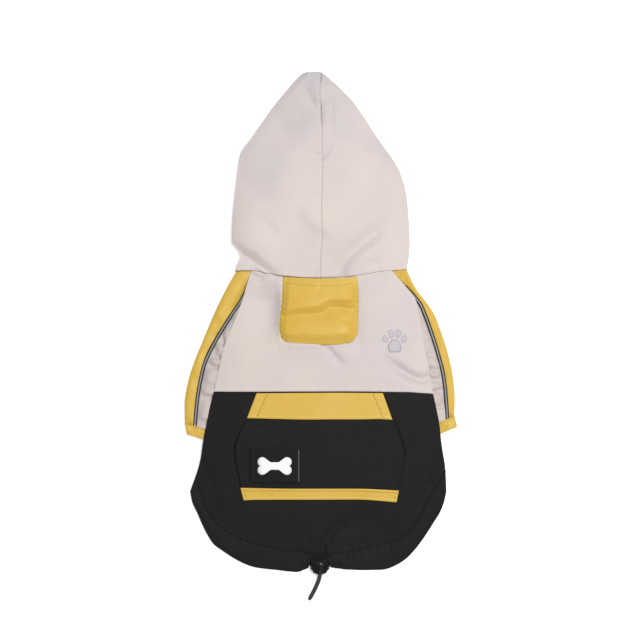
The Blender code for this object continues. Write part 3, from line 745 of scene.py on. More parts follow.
def hood_plans(word, side, columns, rows, under_columns):
    """The plans of a hood half: from the seam over to the side, and from there under to the front opening."""
    rim, tip = HOOD_RIM[word], HOOD_TIP[word]
    neck_x = np.linspace(side * 0.3 - 0.5, rim[0][0], 12)
    neck = np.stack([neck_x, np.interp(neck_x, NECK_LINE[:, 0], NECK_LINE[:, 1])], axis=1)
    seam_y = np.linspace(neck[0, 1], 212.0, 76)
    # from the seam's line to the cloth: more where it gapes, next to nothing at the tip
    gap = 0.28 + 0.12 * seam_open(seam_y) - 0.24 * limited((seam_y - 203) / 7)
    seam = np.stack([seam_x(seam_y) + side * gap, seam_y], axis=1)
    over = patch(neck, tip, seam, rim, towards_roll(columns), even(rows))
    half = np.interp(seam_y, list(OPENING), list(OPENING.values()))
    edge = np.stack([seam_x(seam_y) + side * half, seam_y - 5 * even(75)], axis=1)[::5]
    edge[0] = (side * 0.6 - 0.5, 45.3)
    under = patch([rim[0], edge[0]], [rim[-1], edge[-1]], rim, edge, from_roll(under_columns), even(rows))
    return over, under


# %% Hood creases
# path in mm, width to the left and right of it, height, and the share left at its two ends
HOOD_CREASES = [
    ([(16.7, 44.6), (21.2, 54.3), (33.3, 65), (43.9, 74), (52.9, 82.5), (60.5, 95.3)], 7.0, 5.2, -3.1, 0.8, 0.2),
    ([(24, 43), (32, 53), (43, 61), (54, 69), (62, 78)], 5.0, 7.0, 1.0, 0.7, 0.1),
    ([(35.6, 46.8), (43, 50.0), (51.5, 51.4)], 2.6, 3.2, -0.7, 0.5, 0.3),
    ([(0.4, 186.0), (0.4, 176.0), (1.0, 164.0)], 2.4, 2.4, -0.9, 0.9, 0.1),
    ([(-6.5, 139.4), (-3.5, 141.0), (0.6, 139.6)], 2.2, 2.2, -1.1, 0.4, 0.8),
    ([(8.6, 149.6), (4.6, 143.2), (1.4, 138.4)], 1.6, 2.0, -1.2, 0.4, 0.9),
    ([(10.4, 198), (9.6, 180), (10.6, 155)], 1.8, 3.0, -0.5, 0.3, 0.1),
    ([(14.6, 190), (14.0, 172), (16.0, 150)], 3.0, 3.0, 0.4, 0.2, 0.1),
    ([(-6.6, 94.8), (0.4, 94.2), (8.2, 94.6)], 1.4, 1.8, -0.6, 0.3, 0.3),
    ([(-18, 98), (-9, 89), (-0.4, 80)], 11.0, 5.5, 1.5, 0.2, 0.9),
    ([(-24, 60), (-13, 66), (-1.5, 74)], 6.0, 3.4, -1.0, 0.2, 0.9),
    ([(-50.8, 87.1), (-43, 80), (-35.5, 71.8)], 4.0, 4.5, -1.1, 0.3, 0.3),
    ([(-62, 104), (-54, 96), (-47, 90)], 5.0, 6.0, 0.6, 0.3, 0.3),
    ([(-40, 170), (-30, 158), (-22, 140)], 6.0, 7.0, -0.2, 0.5, 0.1),
    ([(44, 160), (32, 150), (24, 132)], 6.0, 7.0, -0.5, 0.5, 0.1),
    ([(66, 128), (56, 118), (46, 112)], 5.0, 6.0, -0.55, 0.5, 0.1),
    ([(-70, 120), (-58, 116), (-46, 108)], 5.0, 6.0, -0.2, 0.5, 0.1),
    ([(-54.0, 47.0), (-49.5, 43.9), (-44.4, 40.4)], 1.0, 1.1, 2.3, 0.5, 0.9),
]  # fmt: skip
STEP_FOLD = [
    (-77.5, 68.4), (-74.9, 66.6), (-69.8, 61.1), (-65.5, 57.4), (-58.6, 53.6), (-53.2, 49.0), (-47.0, 44.0),
    (-42.5, 40.6),
]  # fmt: skip
STEP_SLOPE, STEP_STEEP, STEP_END = 0.82, 5.4, 7.8  # rise per mm, and where its back eases off and ends, in mm


def step_fold(points):
    """The fold at the hood's lower left: cloth that bulges over its lower edge, with a soft back."""
    away, side, share = near(points, smooth_line(STEP_FOLD, even(24)))
    # it is narrow at its outer end
    wide = 0.35 + 0.65 * np.sin(limited((points[..., 0] + 76) / 20) * np.pi / 2)
    steep, end = STEP_STEEP * wide, STEP_END * wide
    back = limited((away - steep) / (end - steep))
    rise = STEP_SLOPE * (np.minimum(away, steep) + (end - steep) * (back - back**2 / 2))
    rise *= hump(np.maximum(away - end, 0) / 26) * (1 - 0.45 * share**3)
    return np.where(side > 0, rise, 0) - 1.0 * np.exp(-away / np.where(side > 0, 30.0, 7.0))


KNOB_X, KNOB_Y, KNOB_HEIGHT = 0.4, 190.2, 2.4  # mm: a lump where the seam allowances lie together
KNOB_BELOW, KNOB_ABOVE = 9.6, 19  # how far it reaches down and up


def hood_folds(points, away):
    rising = limited(away / 5)
    drawn_in = puckers(points, HOOD_SEAM, 8.0, 0.22, 6.0, 5) + puckers(points, NECK_LINE, 9.0, 0.18, 7.0, 9)
    along = points[..., 1] - KNOB_Y
    across = (points[..., 0] - KNOB_X) / (8.2 + 0.5 * np.clip(along + 2, 0, 18))  # it fans out above
    along = along / np.where(along < 0, KNOB_BELOW, KNOB_ABOVE)
    knob = KNOB_HEIGHT * limited(1 - across**2 - along**2) ** 1.2
    tip = 3.0 * limited((points[..., 1] - 165) / 45) ** 1.2  # the allowances lift the cloth from y 165 up
    flank = np.where(points[..., 0] < 0, 5.8, 1.0) * np.exp(-away / 20)  # the left side stands much fuller
    folds = rising * (creases(points, HOOD_CREASES) + crumple(points, 31) + drawn_in + tip + knob)
    return folds + flank + limited(away / 2) * step_fold(points)


# %% Hood pieces
HOOD_CROWN = 0.78  # the cloth sinks a little more than the solid's dome does
for word, side in (("left", -1), ("right", 1)):
    plans = hood_plans(word, side, 64, 150, 26)
    grid = folded(f"hood_{word}", *plans, ROLL, hood_folds, 50, soft=9, crown=HOOD_CROWN)
    grid = turn_down(grid, "left", 0.55 + 1.1 * seam_open(grid[:, 0, 1]), 0.22)
    for end, edge in (("top", grid[0]), ("bottom", grid[-1])):  # down to the layer below: neck seam and tip
        grid = turn_down(grid, end, np.maximum(edge[:, 2] * 0.85 - 0.5, 0.9), 0.2)
    node = f"hood_{word}"
    dress(f"{node}_cloth", grid, CREAM_HOOD_PAINTED_TIP_SHADE, node, "cream_cloth", (0.14, 0.18), 0.0178, ["floor"])

# %% [markdown]
# ## Yoke
#
# The yoke covers the shoulders from the neck seam to a straight hem over the pocket. It lies calm, pressed
# into soft hollows on both sides of the flap, with one broad fold that runs from below the print to the
# right armhole.

# %% Yoke creases
YOKE_CREASES = [
    ([(-56, 26), (-60, 6), (-58, -14)], 9.0, 8.0, 0.4, 0.2, 0.2),
    ([(3.6, -19), (9, -25), (14, -31), (21, -37)], 2.2, 4.0, -1.9, 1.0, 0.1),
    ([(12, -18), (19, -26), (27, -34)], 5.0, 5.0, 0.5, 0.6, 0.1),
    ([(53, -28), (58, -34), (66, -40), (76, -46.5), (86, -49.6), (92, -47)], 4.0, 3.5, -3.3, 0.2, 0.9),
    ([(62, -26), (72, -36), (82, -42), (92, -41)], 5.5, 5.0, 0.8, 0.3, 0.5),
    ([(56, -46), (68, -53), (82, -57)], 5.0, 5.0, 0.7, 0.2, 0.2),
    ([(54.6, -59.5), (54.9, -55), (56, -51.5)], 1.2, 1.6, -0.6, 1.0, 0.1),
    ([(-60, 42), (-53, 37.5), (-46, 38.5)], 2.4, 3.0, -1.9, 0.6, 0.3),
    ([(44, 41), (50, 38.5), (58, 36)], 4.0, 4.0, -0.6, 0.6, 0.3),
    ([(76.6, 4), (78, -4), (79.4, -9)], 1.4, 1.6, -0.5, 0.3, 0.3),
    ([(81, 18), (82.5, 8), (84.4, -4)], 1.8, 2.2, -0.7, 0.5, 0.2),
    ([(70, 26), (74, 14), (76, 6)], 2.6, 3.0, -0.5, 0.5, 0.2),
    ([(-74, -14), (-68, -26), (-70, -44)], 8.0, 8.0, 0.45, 0.3, 0.3),
    ([(-20, -42), (-30, -48), (-36, -56)], 9.0, 9.0, 0.4, 0.3, 0.3),
]  # fmt: skip
YOKE_HEM = np.array([(-90.6, -59.3), (-40, -59.9), (0, -60.5), (50, -60.9), (95.1, -61.5)])


def beside_flap(points):
    """The yoke dips beside the flap: deep at its left edge, softly at its right. Below its foot it swells."""
    x, y = points[..., 0], points[..., 1]
    left = np.maximum(-33.6 - 0.04 * (20 - y) - x, 0)
    right, foot = np.maximum(x - 31.4, 0), np.maximum(-18.4 - y, 0)
    window = limited((35 - y) / 16) * limited((y + 20) / 18)  # it fades at the flap's top and foot
    added = -11.0 * (1 - np.exp(-left / 8.5)) * hump(left / 22) * window
    added -= 2.4 * np.exp(-right / 9) * (x > 0) * limited((36 - y) / 10) * limited((y + 26) / 14)
    swell = 2.8 * np.exp(-foot / 7) * limited((34 - np.abs(x + 2)) / 12) * limited((2 - y) / 14)
    return added + swell


def under_flap(points):
    """How far a place lies under the flap: 1 well inside its outline, 0 outside."""
    return limited((33 - np.abs(points[..., 0] + 2)) / 5) * limited((points[..., 1] + 19) / 6)


plan, height = plain("back_yoke", [(-58.6, 43.9), (60.2, 44.0), (-90.6, -59.0), (95.1, -61.2)], 140, 86)
folds = creases(plan, YOKE_CREASES) + beside_flap(plan) + crumple(plan, 47)
folds += puckers(plan, NECK_LINE, 9.0, 0.25, 7.0, 12) + puckers(plan, YOKE_HEM, 11.0, 0.15, 5.0, 14)
folds += creases(plan, [(YOKE_HEM + (0, 1.6), 0.9, 1.3, 0.3, 1, 1)])
hidden = under_flap(plan)
height += folds * (1 - hidden) - 1.5 * hidden  # cloth under the flap is smooth and lower
grid = hemmed(as_sewn(with_z(plan, height)), top=0.9, bottom=1.2, left=1.9, right=1.9)
dress("yoke_cloth", grid, CREAM, "back_yoke", "cream_cloth", (0.19, 0.108), 0.0168, ["belly_panel"])

# %% [markdown]
# ## Back panel and hem
#
# Below the yoke the back is black, so its folds show only as faint changes of a dark grey. It ends in a
# curved seam, where a casing for the elastic is sewn on. The elastic draws the cloth together beside the
# cord lock.

# %% Back panel creases
SKIRT_CREASES = [
    ([(1.9, -196.5), (2.4, -190), (7, -181), (14, -174), (25, -168), (38, -167.5)], 6.0, 3.2, -2.6, 0.6, 0.1),
    ([(-20, -193.6), (-14, -194.6), (-8, -194.9)], 1.3, 1.3, -1.3, 0.3, 0.3),
    ([(10, -192), (20, -184), (36, -180), (50, -179)], 4.5, 4.5, 1.0, 0.4, 0.2),
    ([(1.9, -180.6), (1.6, -188), (1.9, -196)], 1.4, 1.8, -0.9, 0.2, 0.7),
    ([(-6, -172), (-2, -184), (-6, -196)], 5.0, 4.0, 0.9, 0.1, 0.6),
    ([(-18, -195), (-12, -188), (-12, -178)], 3.0, 4.0, -0.7, 0.9, 0.1),
    ([(-46, -190), (-38, -180), (-34, -168)], 5.0, 6.0, -0.5, 0.8, 0.1),
    ([(79.2, -169.6), (77, -173), (76.4, -176)], 1.8, 2.2, -0.8, 0.2, 0.3),
    ([(60, -186), (62, -176), (70, -166)], 4.0, 5.0, -0.6, 0.9, 0.1),
    ([(102, -113), (99.4, -122), (94, -137), (88.6, -150.9)], 2.4, 4.0, -1.4, 0.5, 0.3),
    ([(-62.9, -81), (-68, -93), (-72.6, -106), (-73.5, -114)], 1.0, 1.0, -1.5, 0.6, 0.8),
    ([(-73.4, -112), (-70.6, -125), (-67.6, -138.6)], 0.8, 0.8, -0.9, 0.8, 0.8),
    ([(61, -81.6), (66.2, -96), (70.6, -111.6)], 1.0, 1.0, -1.5, 0.6, 0.8),
    ([(70.4, -111), (68, -126), (65.2, -141)], 0.8, 0.8, -0.9, 0.8, 0.8),
    ([(-101, -118), (-94, -132), (-86, -142)], 3.0, 4.5, -0.6, 0.5, 0.2),
    ([(-86, -136), (-82, -148), (-78, -160)], 3.5, 4.0, 0.5, 0.2, 0.2),
    ([(-98, -100), (-88, -108), (-80, -120)], 5.0, 5.0, -0.4, 0.6, 0.1),
    ([(98, -90), (86, -100), (80, -112)], 5.0, 5.0, -0.4, 0.6, 0.1),
    ([(-60, -160), (-30, -164), (0, -160)], 9.0, 9.0, 0.5, 0.2, 0.2),
]  # fmt: skip
CASING_SEAM = np.array([
    (-105.9, -130.0), (-100.1, -150.9), (-91.6, -167.0), (-80.6, -177.2), (-68.7, -183.4), (-45.9, -190.3),
    (-18.5, -194.9), (2.7, -196.4), (32.0, -192.7), (52.4, -188.0), (63.1, -184.7), (73.3, -178.5),
    (81.0, -168.7), (89.4, -153.4), (96.8, -140.0), (105.6, -125.4),
])  # fmt: skip
skirt_corners = [(-90.6, -59.3), (95.1, -61.5), (-105.9, -130.0), (105.6, -125.4)]
plan, height = plain("back_skirt", skirt_corners, 150, 100)
height += creases(plan, SKIRT_CREASES) + crumple(plan, 61, 0.3, 0.06)
height += puckers(plan, CASING_SEAM, 7.5, 0.45, 7.0, 17) + puckers(plan, YOKE_HEM, 11.0, 0.12, 4.0, 14)
grid = hemmed(as_sewn(with_z(plan, height)), top=1.1, bottom=1.0, left=3.0, right=3.4)
dress("back_panel_cloth", grid, BLACK, "back_skirt", "black_cloth", (0.216, 0.14), 0.0245, ["belly_panel"])


# %% Hem casing
def hem_folds(points, away):
    drawn = np.exp(-((points[..., 0] + 0.8) ** 2) / 45**2)
    gathers = puckers(points, CASING_SEAM, 7.0, 0.45, 9.0, 21)
    gathers += puckers(points, CASING_SEAM, 4.6, 0.35, 9.0, 23)
    return gathers * (0.5 + 0.7 * drawn) + crumple(points, 71, 0.2, 0.08)


HEM_INNER, HEM_OUTER = [(-106.2, -130.1), (105.9, -125.6)], [(-111.0, -143.7), (106.7, -143.7)]
hem_upper = [HEM_INNER[0], HEM_OUTER[0], HEM_INNER[1], HEM_OUTER[1]]
hem_lower = [HEM_OUTER[0], HEM_INNER[0], HEM_OUTER[1], HEM_INNER[1]]
plans = layers("hem_casing", hem_upper, hem_lower, 16, 8, 240, ROLL)
grid = folded("hem_casing", *plans, ROLL, hem_folds, 8)
grid = turn_down(grid, "left", 0.9, 0.3)
dress("hem_casing_cloth", grid, BLACK, "hem_casing", "black_cloth", (0.30, 0.05), 0.0085, ["floor"])

# %% [markdown]
# ## Mouth of the casing
#
# Where the cord leaves the casing, its cloth is gathered into a small mouth that folds over the cord lock's
# top. It is a piece of its own here, drawn as columns that hang from the casing to the mouth's edge,
# because it has to climb over the lock.

# %% Mouth
MOUTH_EDGE = {
    -17.3: -211.2, -14.3: -210.0, -10.8: -208.6, -10.2: -206.8, -9.2: -205.2, -7.5: -204.6, -1.5: -205.1,
    4.0: -204.7, 7.2: -203.9, 8.0: -206.6, 8.8: -207.9, 13.5: -208.8, 16.6: -209.0,
}  # fmt: skip
MOUTH_TOP, OVER_LOCK = -197.6, 6.8  # mm: where its columns start, and how far they climb over the lock
LOCK_X, LOCK_Z = CORD_ROUTE[0][0], CORD_ROUTE[0][2]
# columns from side to side, closer where the mouth's edge turns beside the lock
spans = (-17.3, 16.6, 86), (-10.8, -9.5, 8), (7.1, 8.9, 8)
x = np.sort(np.concatenate([np.linspace(*span) for span in spans]))
from_lock = np.abs(x - LOCK_X)
edge_y = np.interp(x, list(MOUTH_EDGE), list(MOUTH_EDGE.values()))
down = even(18)[:, None]
plan = np.stack([np.tile(x, (19, 1)), MOUTH_TOP + (edge_y - MOUTH_TOP) * down], axis=-1)
height = settled(height_on("hem_casing", plan), 8) + 0.35 - 0.7 * (1 - down) ** 4
climb = (1 - np.cos(limited((-197 - plan[..., 1]) / 6.4) * np.pi)) / 2
height += OVER_LOCK * np.exp(-((from_lock / 8.4) ** 4)) * climb
height += 0.35 * down * np.sin(x * 1.7 + 2 * ripple(plan, 5, 77)) - 1.1 * down**3 * (from_lock > 9.6)
grid = turn_down(with_z(plan, height), "bottom", 0.5 + 0.7 * limited(from_lock - 9), 0.15)
dress("casing_mouth_cloth", grid, BLACK, None, "black_cloth", (0.036, 0.018), 0.00042, ["hem_casing_cloth"])

# %% [markdown]
# ## Belly panel
#
# Under the back lies the belly panel, which the coat rests on. Only its edge at the hem and its underside
# show.

# %% Belly
belly_corners = [(-46, 41.5), (47.5, 42.5), (-103.4, -128.6), (103.2, -124.4)]
plan = patch(*four_sides(outline("belly_panel"), belly_corners), even(60), even(60))
height = 0.62 + 0.25 * ripple(plan, 16, 81) + 0.15 * ripple(plan, 7, 82)  # nearly flat on the floor
grid = with_z(plan, np.clip(height, 0.46, 1.15))
dress("belly_cloth", grid, BLACK, "belly_panel", "black_cloth", (0.2, 0.18), 0.0297, ["floor"])

# %% [markdown]
# ## Sleeves, cuffs and piping
#
# Each sleeve is two pieces of cloth, a yellow strip on the outside and a cream panel towards the back, with
# reflective piping sewn between them. The cuff is a flattened tube of yellow cloth, gathered on elastic.

# %% Sleeves
SLEEVE_SEAM = {
    "left": [
        (-56.0, 44.0), (-61.5, 31.0), (-67.5, 18.5), (-74.1, 9.0), (-85.6, -9.0), (-98.1, -33.2),
        (-102.8, -52.2), (-105.4, -69.3), (-106.9, -86.4),
    ],
    "right": [
        (57.5, 44.5), (67.0, 34.0), (76.5, 24.5), (83.0, 18.0), (88.2, 6.7), (93.9, -8.9), (100.0, -28.5),
        (103.9, -44.1), (106.0, -60.8), (107.4, -81.8),
    ],
}  # fmt: skip
SLEEVE_CREASES = [
    # left panel: each trough with the ridge above it, so that the cloth between them turns from the light
    ([(-85.5, -11), (-83.2, -16), (-80.6, -20.5)], 1.8, 2.6, -3.6, 0.8, 0.6),
    ([(-79.5, -9), (-78, -14), (-76, -18)], 2.6, 2.6, 2.9, 0.8, 0.8),
    ([(-92, -26.5), (-87, -29.8), (-82, -31)], 1.9, 2.0, -3.0, 0.5, 0.9),
    ([(-88, -20), (-83, -23), (-79, -25)], 2.6, 2.6, 2.5, 0.5, 0.9),
    ([(-95.5, -36.5), (-90, -38), (-84.5, -37.5)], 1.9, 2.2, -3.0, 0.6, 0.9),
    ([(-92, -31.8), (-87, -33.6), (-83, -34)], 2.2, 2.2, 2.2, 0.5, 0.9),
    ([(-99, -46), (-92, -46), (-86, -46.5)], 5.0, 4.0, 2.3, 0.4, 0.9),
    ([(-99, -53), (-93, -54.5), (-87, -54)], 2.5, 3.0, -1.6, 0.3, 0.9),
    ([(-100, -58), (-93, -58.4), (-88, -58)], 2.6, 2.6, 1.8, 0.4, 0.9),
    ([(-101, -63.8), (-94, -63.6), (-88, -63)], 2.2, 2.6, -2.9, 0.5, 0.9),
    ([(-103, -79.5), (-98, -79), (-92, -80)], 2.6, 2.6, 1.6, 0.6, 0.6),
    ([(-103.5, -84.5), (-98, -85), (-92, -86)], 2.0, 2.2, -1.8, 0.8, 0.6),
    # right panel
    ([(80.6, 18), (82.4, 12), (83.4, 7)], 1.4, 1.8, -2.6, 0.6, 0.6),
    ([(82.6, 3), (84.6, -2), (86, -6)], 1.6, 2.2, -1.4, 0.6, 0.6),
    ([(85.5, -12), (89, -12.5), (93, -15)], 4.0, 4.0, 2.0, 0.9, 0.4),
    ([(87, -27), (90.5, -28.5), (95, -27)], 2.4, 2.6, -2.2, 0.9, 0.4),
    ([(90, -32), (94.5, -33.6), (99, -36)], 2.4, 2.4, 2.3, 0.9, 0.7),
    ([(90.6, -39), (95, -41), (98, -41.5)], 1.9, 2.1, -3.0, 0.9, 0.7),
    ([(93, -42.6), (97, -43.6), (101, -44)], 1.8, 2.0, 2.0, 0.9, 0.6),
    ([(93, -48), (98, -48.4), (102, -47.5)], 1.9, 2.1, -3.2, 0.9, 0.6),
    ([(94, -53.5), (98, -54), (103.5, -53.5)], 2.0, 2.0, 2.2, 0.9, 0.7),
    ([(94, -58.8), (98, -59), (103.5, -57.6)], 1.7, 1.9, -3.4, 0.9, 0.7),
    ([(96, -63), (100, -63), (105, -63)], 2.6, 2.6, 1.4, 0.9, 0.5),
    ([(97, -71), (101, -71.4), (105, -70)], 1.8, 2.0, -2.3, 0.9, 0.5),
    # strips
    ([(-52, 40), (-58, 26), (-65, 11), (-73, -3)], 2.0, 8.0, 1.4, 0.9, 0.1),
    ([(-92, 2), (-84, -2), (-80, 2)], 4.0, 5.0, -0.6, 0.6, 0.6),
    ([(-112, -46), (-106, -50), (-103, -48)], 3.0, 4.0, -0.5, 0.6, 0.6),
    ([(74, 37), (80, 28), (87, 18)], 1.4, 1.8, 2.0, 0.6, 0.3),
    ([(70, 40), (78, 34), (82, 26)], 3.0, 3.0, -0.6, 0.3, 0.3),
]  # fmt: skip


def sleeve_folds(points, away):
    fine = 0.45 * ripple(points, 9, 91) + 0.5 * ripple(points, 17, 92)
    fine += 1.5 * limited(near(points, points[:, 0])[0] / 7)  # it rises towards the back
    return limited(away / 3) * (creases(points, SLEEVE_CREASES) + fine)


SLEEVE_ENDS = {  # for the upper and the lower layer: seam and edge at the neck, seam and edge at the cuff
    "sleeve_strip_left": ([(-58, 44), (-71.7, 44), (-108.7, -85), (-115.6, -85)],
                          [(-71.7, 44), (-56.3, 44), (-115.6, -85), (-107.2, -86.5)]),
    "sleeve_panel_left": ([(-54.2, 43.6), (-45.3, 41.3), (-105.1, -87.5), (-84.5, -93.5)],
                          [(-45.3, 41.3), (-55.7, 43.8), (-84.5, -93.5), (-106.6, -87.2)]),
    "sleeve_strip_right": ([(59.4, 44), (73, 44.6), (109.2, -80), (113.4, -78.6)],
                           [(73, 44.6), (57.8, 44), (113.4, -78.6), (107.8, -81)]),
    "sleeve_panel_right": ([(55.6, 43.8), (48, 42.5), (105.6, -81.5), (86.9, -88.6)],
                           [(48, 42.5), (57.2, 44), (86.9, -88.6), (107, -81.2)]),
}  # fmt: skip
SLEEVE_CUTS = {  # width and length of the cut, and its flat area
    "sleeve_strip_left": ((0.034, 0.145), 0.0034),
    "sleeve_panel_left": ((0.052, 0.146), 0.0060),
    "sleeve_strip_right": ((0.034, 0.142), 0.0024),
    "sleeve_panel_right": ((0.052, 0.142), 0.0055),
}
SLEEVE_ROLL, SLEEVE_TOP = 1.8, 6.2  # mm: the height of a sleeve's rolled edges, and the most it may rise to
UNDER_COVER = 0.6  # mm that a sleeve stays below the panel that lies on it
for node, (upper, lower) in SLEEVE_ENDS.items():
    plans = layers(node, upper, lower, 22, 14, 110, SLEEVE_ROLL)
    grid = folded(node, *plans, SLEEVE_ROLL, sleeve_folds, 12)
    cover = np.fmin(*[cast(tree_of(PANELS[name]), grid) for name in ("yoke_cloth", "back_panel_cloth")])
    cover = np.maximum(cover - UNDER_COVER, UNDER_COVER)
    grid[..., 2] = np.fmin(np.minimum(grid[..., 2], SLEEVE_TOP), cover)
    grid = turn_down(turn_down(grid, "left", 1.0, 0.4), "bottom", 1.4, 1.2)
    # the cream panels take the greyer copy of the cream, which is painted shade
    cloth, slot = (YELLOW, "yellow_cloth") if "strip" in node else (CREAM_PAINTED_SHADE, "cream_cloth")
    dress(f"{node}_cloth", grid, cloth, node, slot, *SLEEVE_CUTS[node], ["floor"])


# %% Cuffs
CUFFS = {
    "left": [(-115.6, -85.6), (-84.8, -94.2), (-113.8, -94.8), (-86.4, -103.2)],
    "right": [(113.6, -79.3), (87.0, -89.4), (115.8, -88.4), (88.2, -99.8)],
}
for word, corners in CUFFS.items():
    node, middle = f"cuff_{word}", 2.25
    over = patch(*four_sides(outline(node, 1, middle), corners), np.sin(even(44) * np.pi / 2) ** 2, even(14))
    away = np.minimum(near(over, over[:, 0])[0], near(over, over[:, -1])[0])
    height = height_on(node, over)
    height[away < middle * 1.05] = np.nan
    seed = 101 if word == "left" else 111
    gathers = 0.5 * ripple(over * (1, 0.45), 3.4, seed) + 0.45 * ripple(over, 6, seed + 1)
    groove = -0.5 * np.exp(-((even(14)[:, None] - 0.16) ** 2) / 0.006)  # where the stitches run
    top = middle + (settled(height, 8) + gathers + groove - middle) * rounded(away, middle)
    low = middle - (middle - 0.02) * rounded(away, middle)
    ring = np.concatenate([with_z(over, top), with_z(over, low)[:, -2:0:-1]], axis=1)
    dress(f"cuff_{word}_cloth", ring, YELLOW, node, "yellow_cloth", (0.062, 0.01), 0.00062, ["floor"],
          ring=True)  # fmt: skip

# %% [markdown]
# ## Reflective piping
#
# Piping is a cord wrapped in tape: here the tape carries fine glass beads, so it is a cool grey that looks
# plain in soft light, and its edges sink into the seam. A tube along the seam is the bead. A wider strip of
# the black cloth lies under it and shows on both its sides as the seam's shade: painted shade.

# %% Piping
TAPE = grained(
    "glass_bead_reflective_tape", "TexNoise", dict(Scale=2400.0, Detail=1.0), "#72777D", "#90949B", 0.15,
    Metallic=0.35, Roughness=0.42,
)  # fmt: skip


def tape_mesh(name, line, profile, material, node=None):
    """A profile, (across, up) pairs in millimetres, drawn along a line that lies nearly flat."""
    line = np.asarray(line, float)
    run = np.gradient(line, axis=0)
    across = np.stack([run[:, 1], -run[:, 0]], axis=1)
    across /= np.linalg.norm(across, axis=1, keepdims=True)
    grid = np.stack([
        np.concatenate([line[:, :2] + across * x, line[:, 2:] + z], axis=1) for x, z in profile
    ], axis=1)  # fmt: skip
    piece = sheet_object(name, grid, material, ring=True, thickness=0)
    mend(piece, lambda form: bmesh.ops.holes_fill(form, edges=form.edges))
    put_on(piece, node)


BEAD = [(0.85 * math.cos(a), 0.85 * math.sin(a)) for a in np.linspace(0, 2 * np.pi, 15)[:-1]]
# the profile of the black strip under the bead, which is painted shade
PAINTED_SHADE_STRIP = [(-1.6, -0.5), (1.6, -0.5), (1.45, 0.1), (-1.45, 0.1)]
for word, seam in SLEEVE_SEAM.items():
    line = smooth_line(seam, even(14))[2:]
    line = smooth_line(with_z(line, np.full(len(line), 3.75)), even(120))
    line[:, 2] += 0.12 * ripple(line, 9, 121)
    tape_mesh(f"piping_{word}_bead", line, BEAD, TAPE, f"sleeve_piping_{word}")
    # painted shade: a strip of black cloth under the bead darkens the seam beside it
    tape_mesh(f"piping_{word}_flange", line - (0, 0, 0.35), PAINTED_SHADE_STRIP, BLACK)
    print(f"piping {word}:", round(length_of(line), 1), "mm")

# %% [markdown]
# ## Leash flap
#
# A flap of doubled yellow cloth hangs from the neck seam over the slit for the leash. Its stitched edge is
# drawn in by the thread, and one broad fold runs across it, because the cloth behind it is slack.

# %% Flap
FLAP_CREASES = [
    ([(-20, 0), (0, -1), (18, 1)], 4.0, 5.0, 0.3, 0.2, 0.2),
    ([(-36, 19.6), (-26, 18.4), (-18, 18.8)], 1.6, 1.8, -0.8, 1.0, 0.1),
    ([(0, 31), (-1, 27), (-2, 23)], 2.0, 2.4, -0.5, 0.5, 0.2),
    ([(14, 4), (24, 1), (34, 2)], 2.0, 2.4, -0.6, 0.1, 0.8),
]  # fmt: skip
FLAP_LEDGE = [
    (-42, 8.6), (-32.1, 10.0), (-20.2, 12.3), (-6.6, 13.6), (-0.7, 14.9), (3.6, 17.9), (7.6, 20.2), (18, 20.4),
    (31.6, 19.4), (40, 18.4),
]  # fmt: skip
FLAP_EDGE = np.array([
    (-31.8, 38.6), (-32.8, 20.8), (-34.6, 1.2), (-34.9, -8.0), (-33.6, -12.6), (-29.6, -15.6), (-9.3, -18.2),
    (6.2, -18.6), (21.2, -17.4), (28.3, -14.4), (31.2, -9.6), (31.3, 1.2), (31.6, 16.7), (31.0, 38.8),
])  # fmt: skip
flap_corners = [(-31.8, 38.6), (31.0, 38.8), (-34.9, -8.0), (31.2, -9.6)]
plan, height = plain("leash_flap", flap_corners, 72, 62)
x, y = plan[..., 0], plan[..., 1]
edge_away, from_top, from_left = near(plan, FLAP_EDGE)[0], 37 - y, limited((x + 34) / 34)
bulge = 4.2 * limited(from_top / 18) + ledge(plan, FLAP_LEDGE, (4.0, 9.4), 0.7, 24)
bulge *= limited(edge_away / (3.5 + 5 * np.minimum(from_left * 2, 1))) ** 0.9  # steeper at the left edge
height += bulge - 1.6 * (1 - from_left) ** 2 + creases(plan, FLAP_CREASES) + crumple(plan, 131, 0.15, 0.06)
drawn_in = puckers(plan, FLAP_EDGE[8:], 4.4, 0.9, 3.4, 25) + puckers(plan, FLAP_EDGE[:6], 5.0, 0.6, 4.0, 27)
height += drawn_in * limited(from_top / 9) - 0.3 * hump((edge_away - 3.4) / 0.9)  # with the stitches' groove
height += 1.3 * np.exp(-np.maximum(y + 18, 0) / 9) - 0.7 * np.exp(-edge_away / 4)  # the foot lies on the yoke
height -= 1.2 * limited((x - 18) / 13)  # and the right side sinks
grid = hemmed(with_z(plan, height), top=0.5, bottom=0.8, left=0.8, right=0.8)
dress("leash_flap_cloth", grid, YELLOW, "leash_flap", "yellow_cloth", (0.0665, 0.058), 0.0037, ["yoke_cloth"])

# %% [markdown]
# ## Patch pocket and label
#
# The pocket is three pieces: a yellow top that folds over, a black body that widens and narrows again, and
# a yellow band at its foot. A woven label lies on the body. All of it lies flat, sharp at its folded edges.


# %% Pocket
def lip(points, line, height=0.35):
    """The slight bead that a folded edge makes just inside itself."""
    away = near(points, np.asarray(line, float))[0]
    return height * hump((away - 0.9) / 0.8)


def on_top(name, node, corners, columns, rows, cloth, slot, flat, area, folds, deep, rests_on):
    plan, height = plain(node, corners, columns, rows)
    grid = as_sewn(with_z(plan, height + folds(plan) + crumple(plan, 141 + len(name), 0.12, 0.04)))
    grid = hemmed(grid, top=deep, bottom=deep, left=deep, right=deep)
    dress(name, grid, cloth, node, slot, flat, area, rests_on)


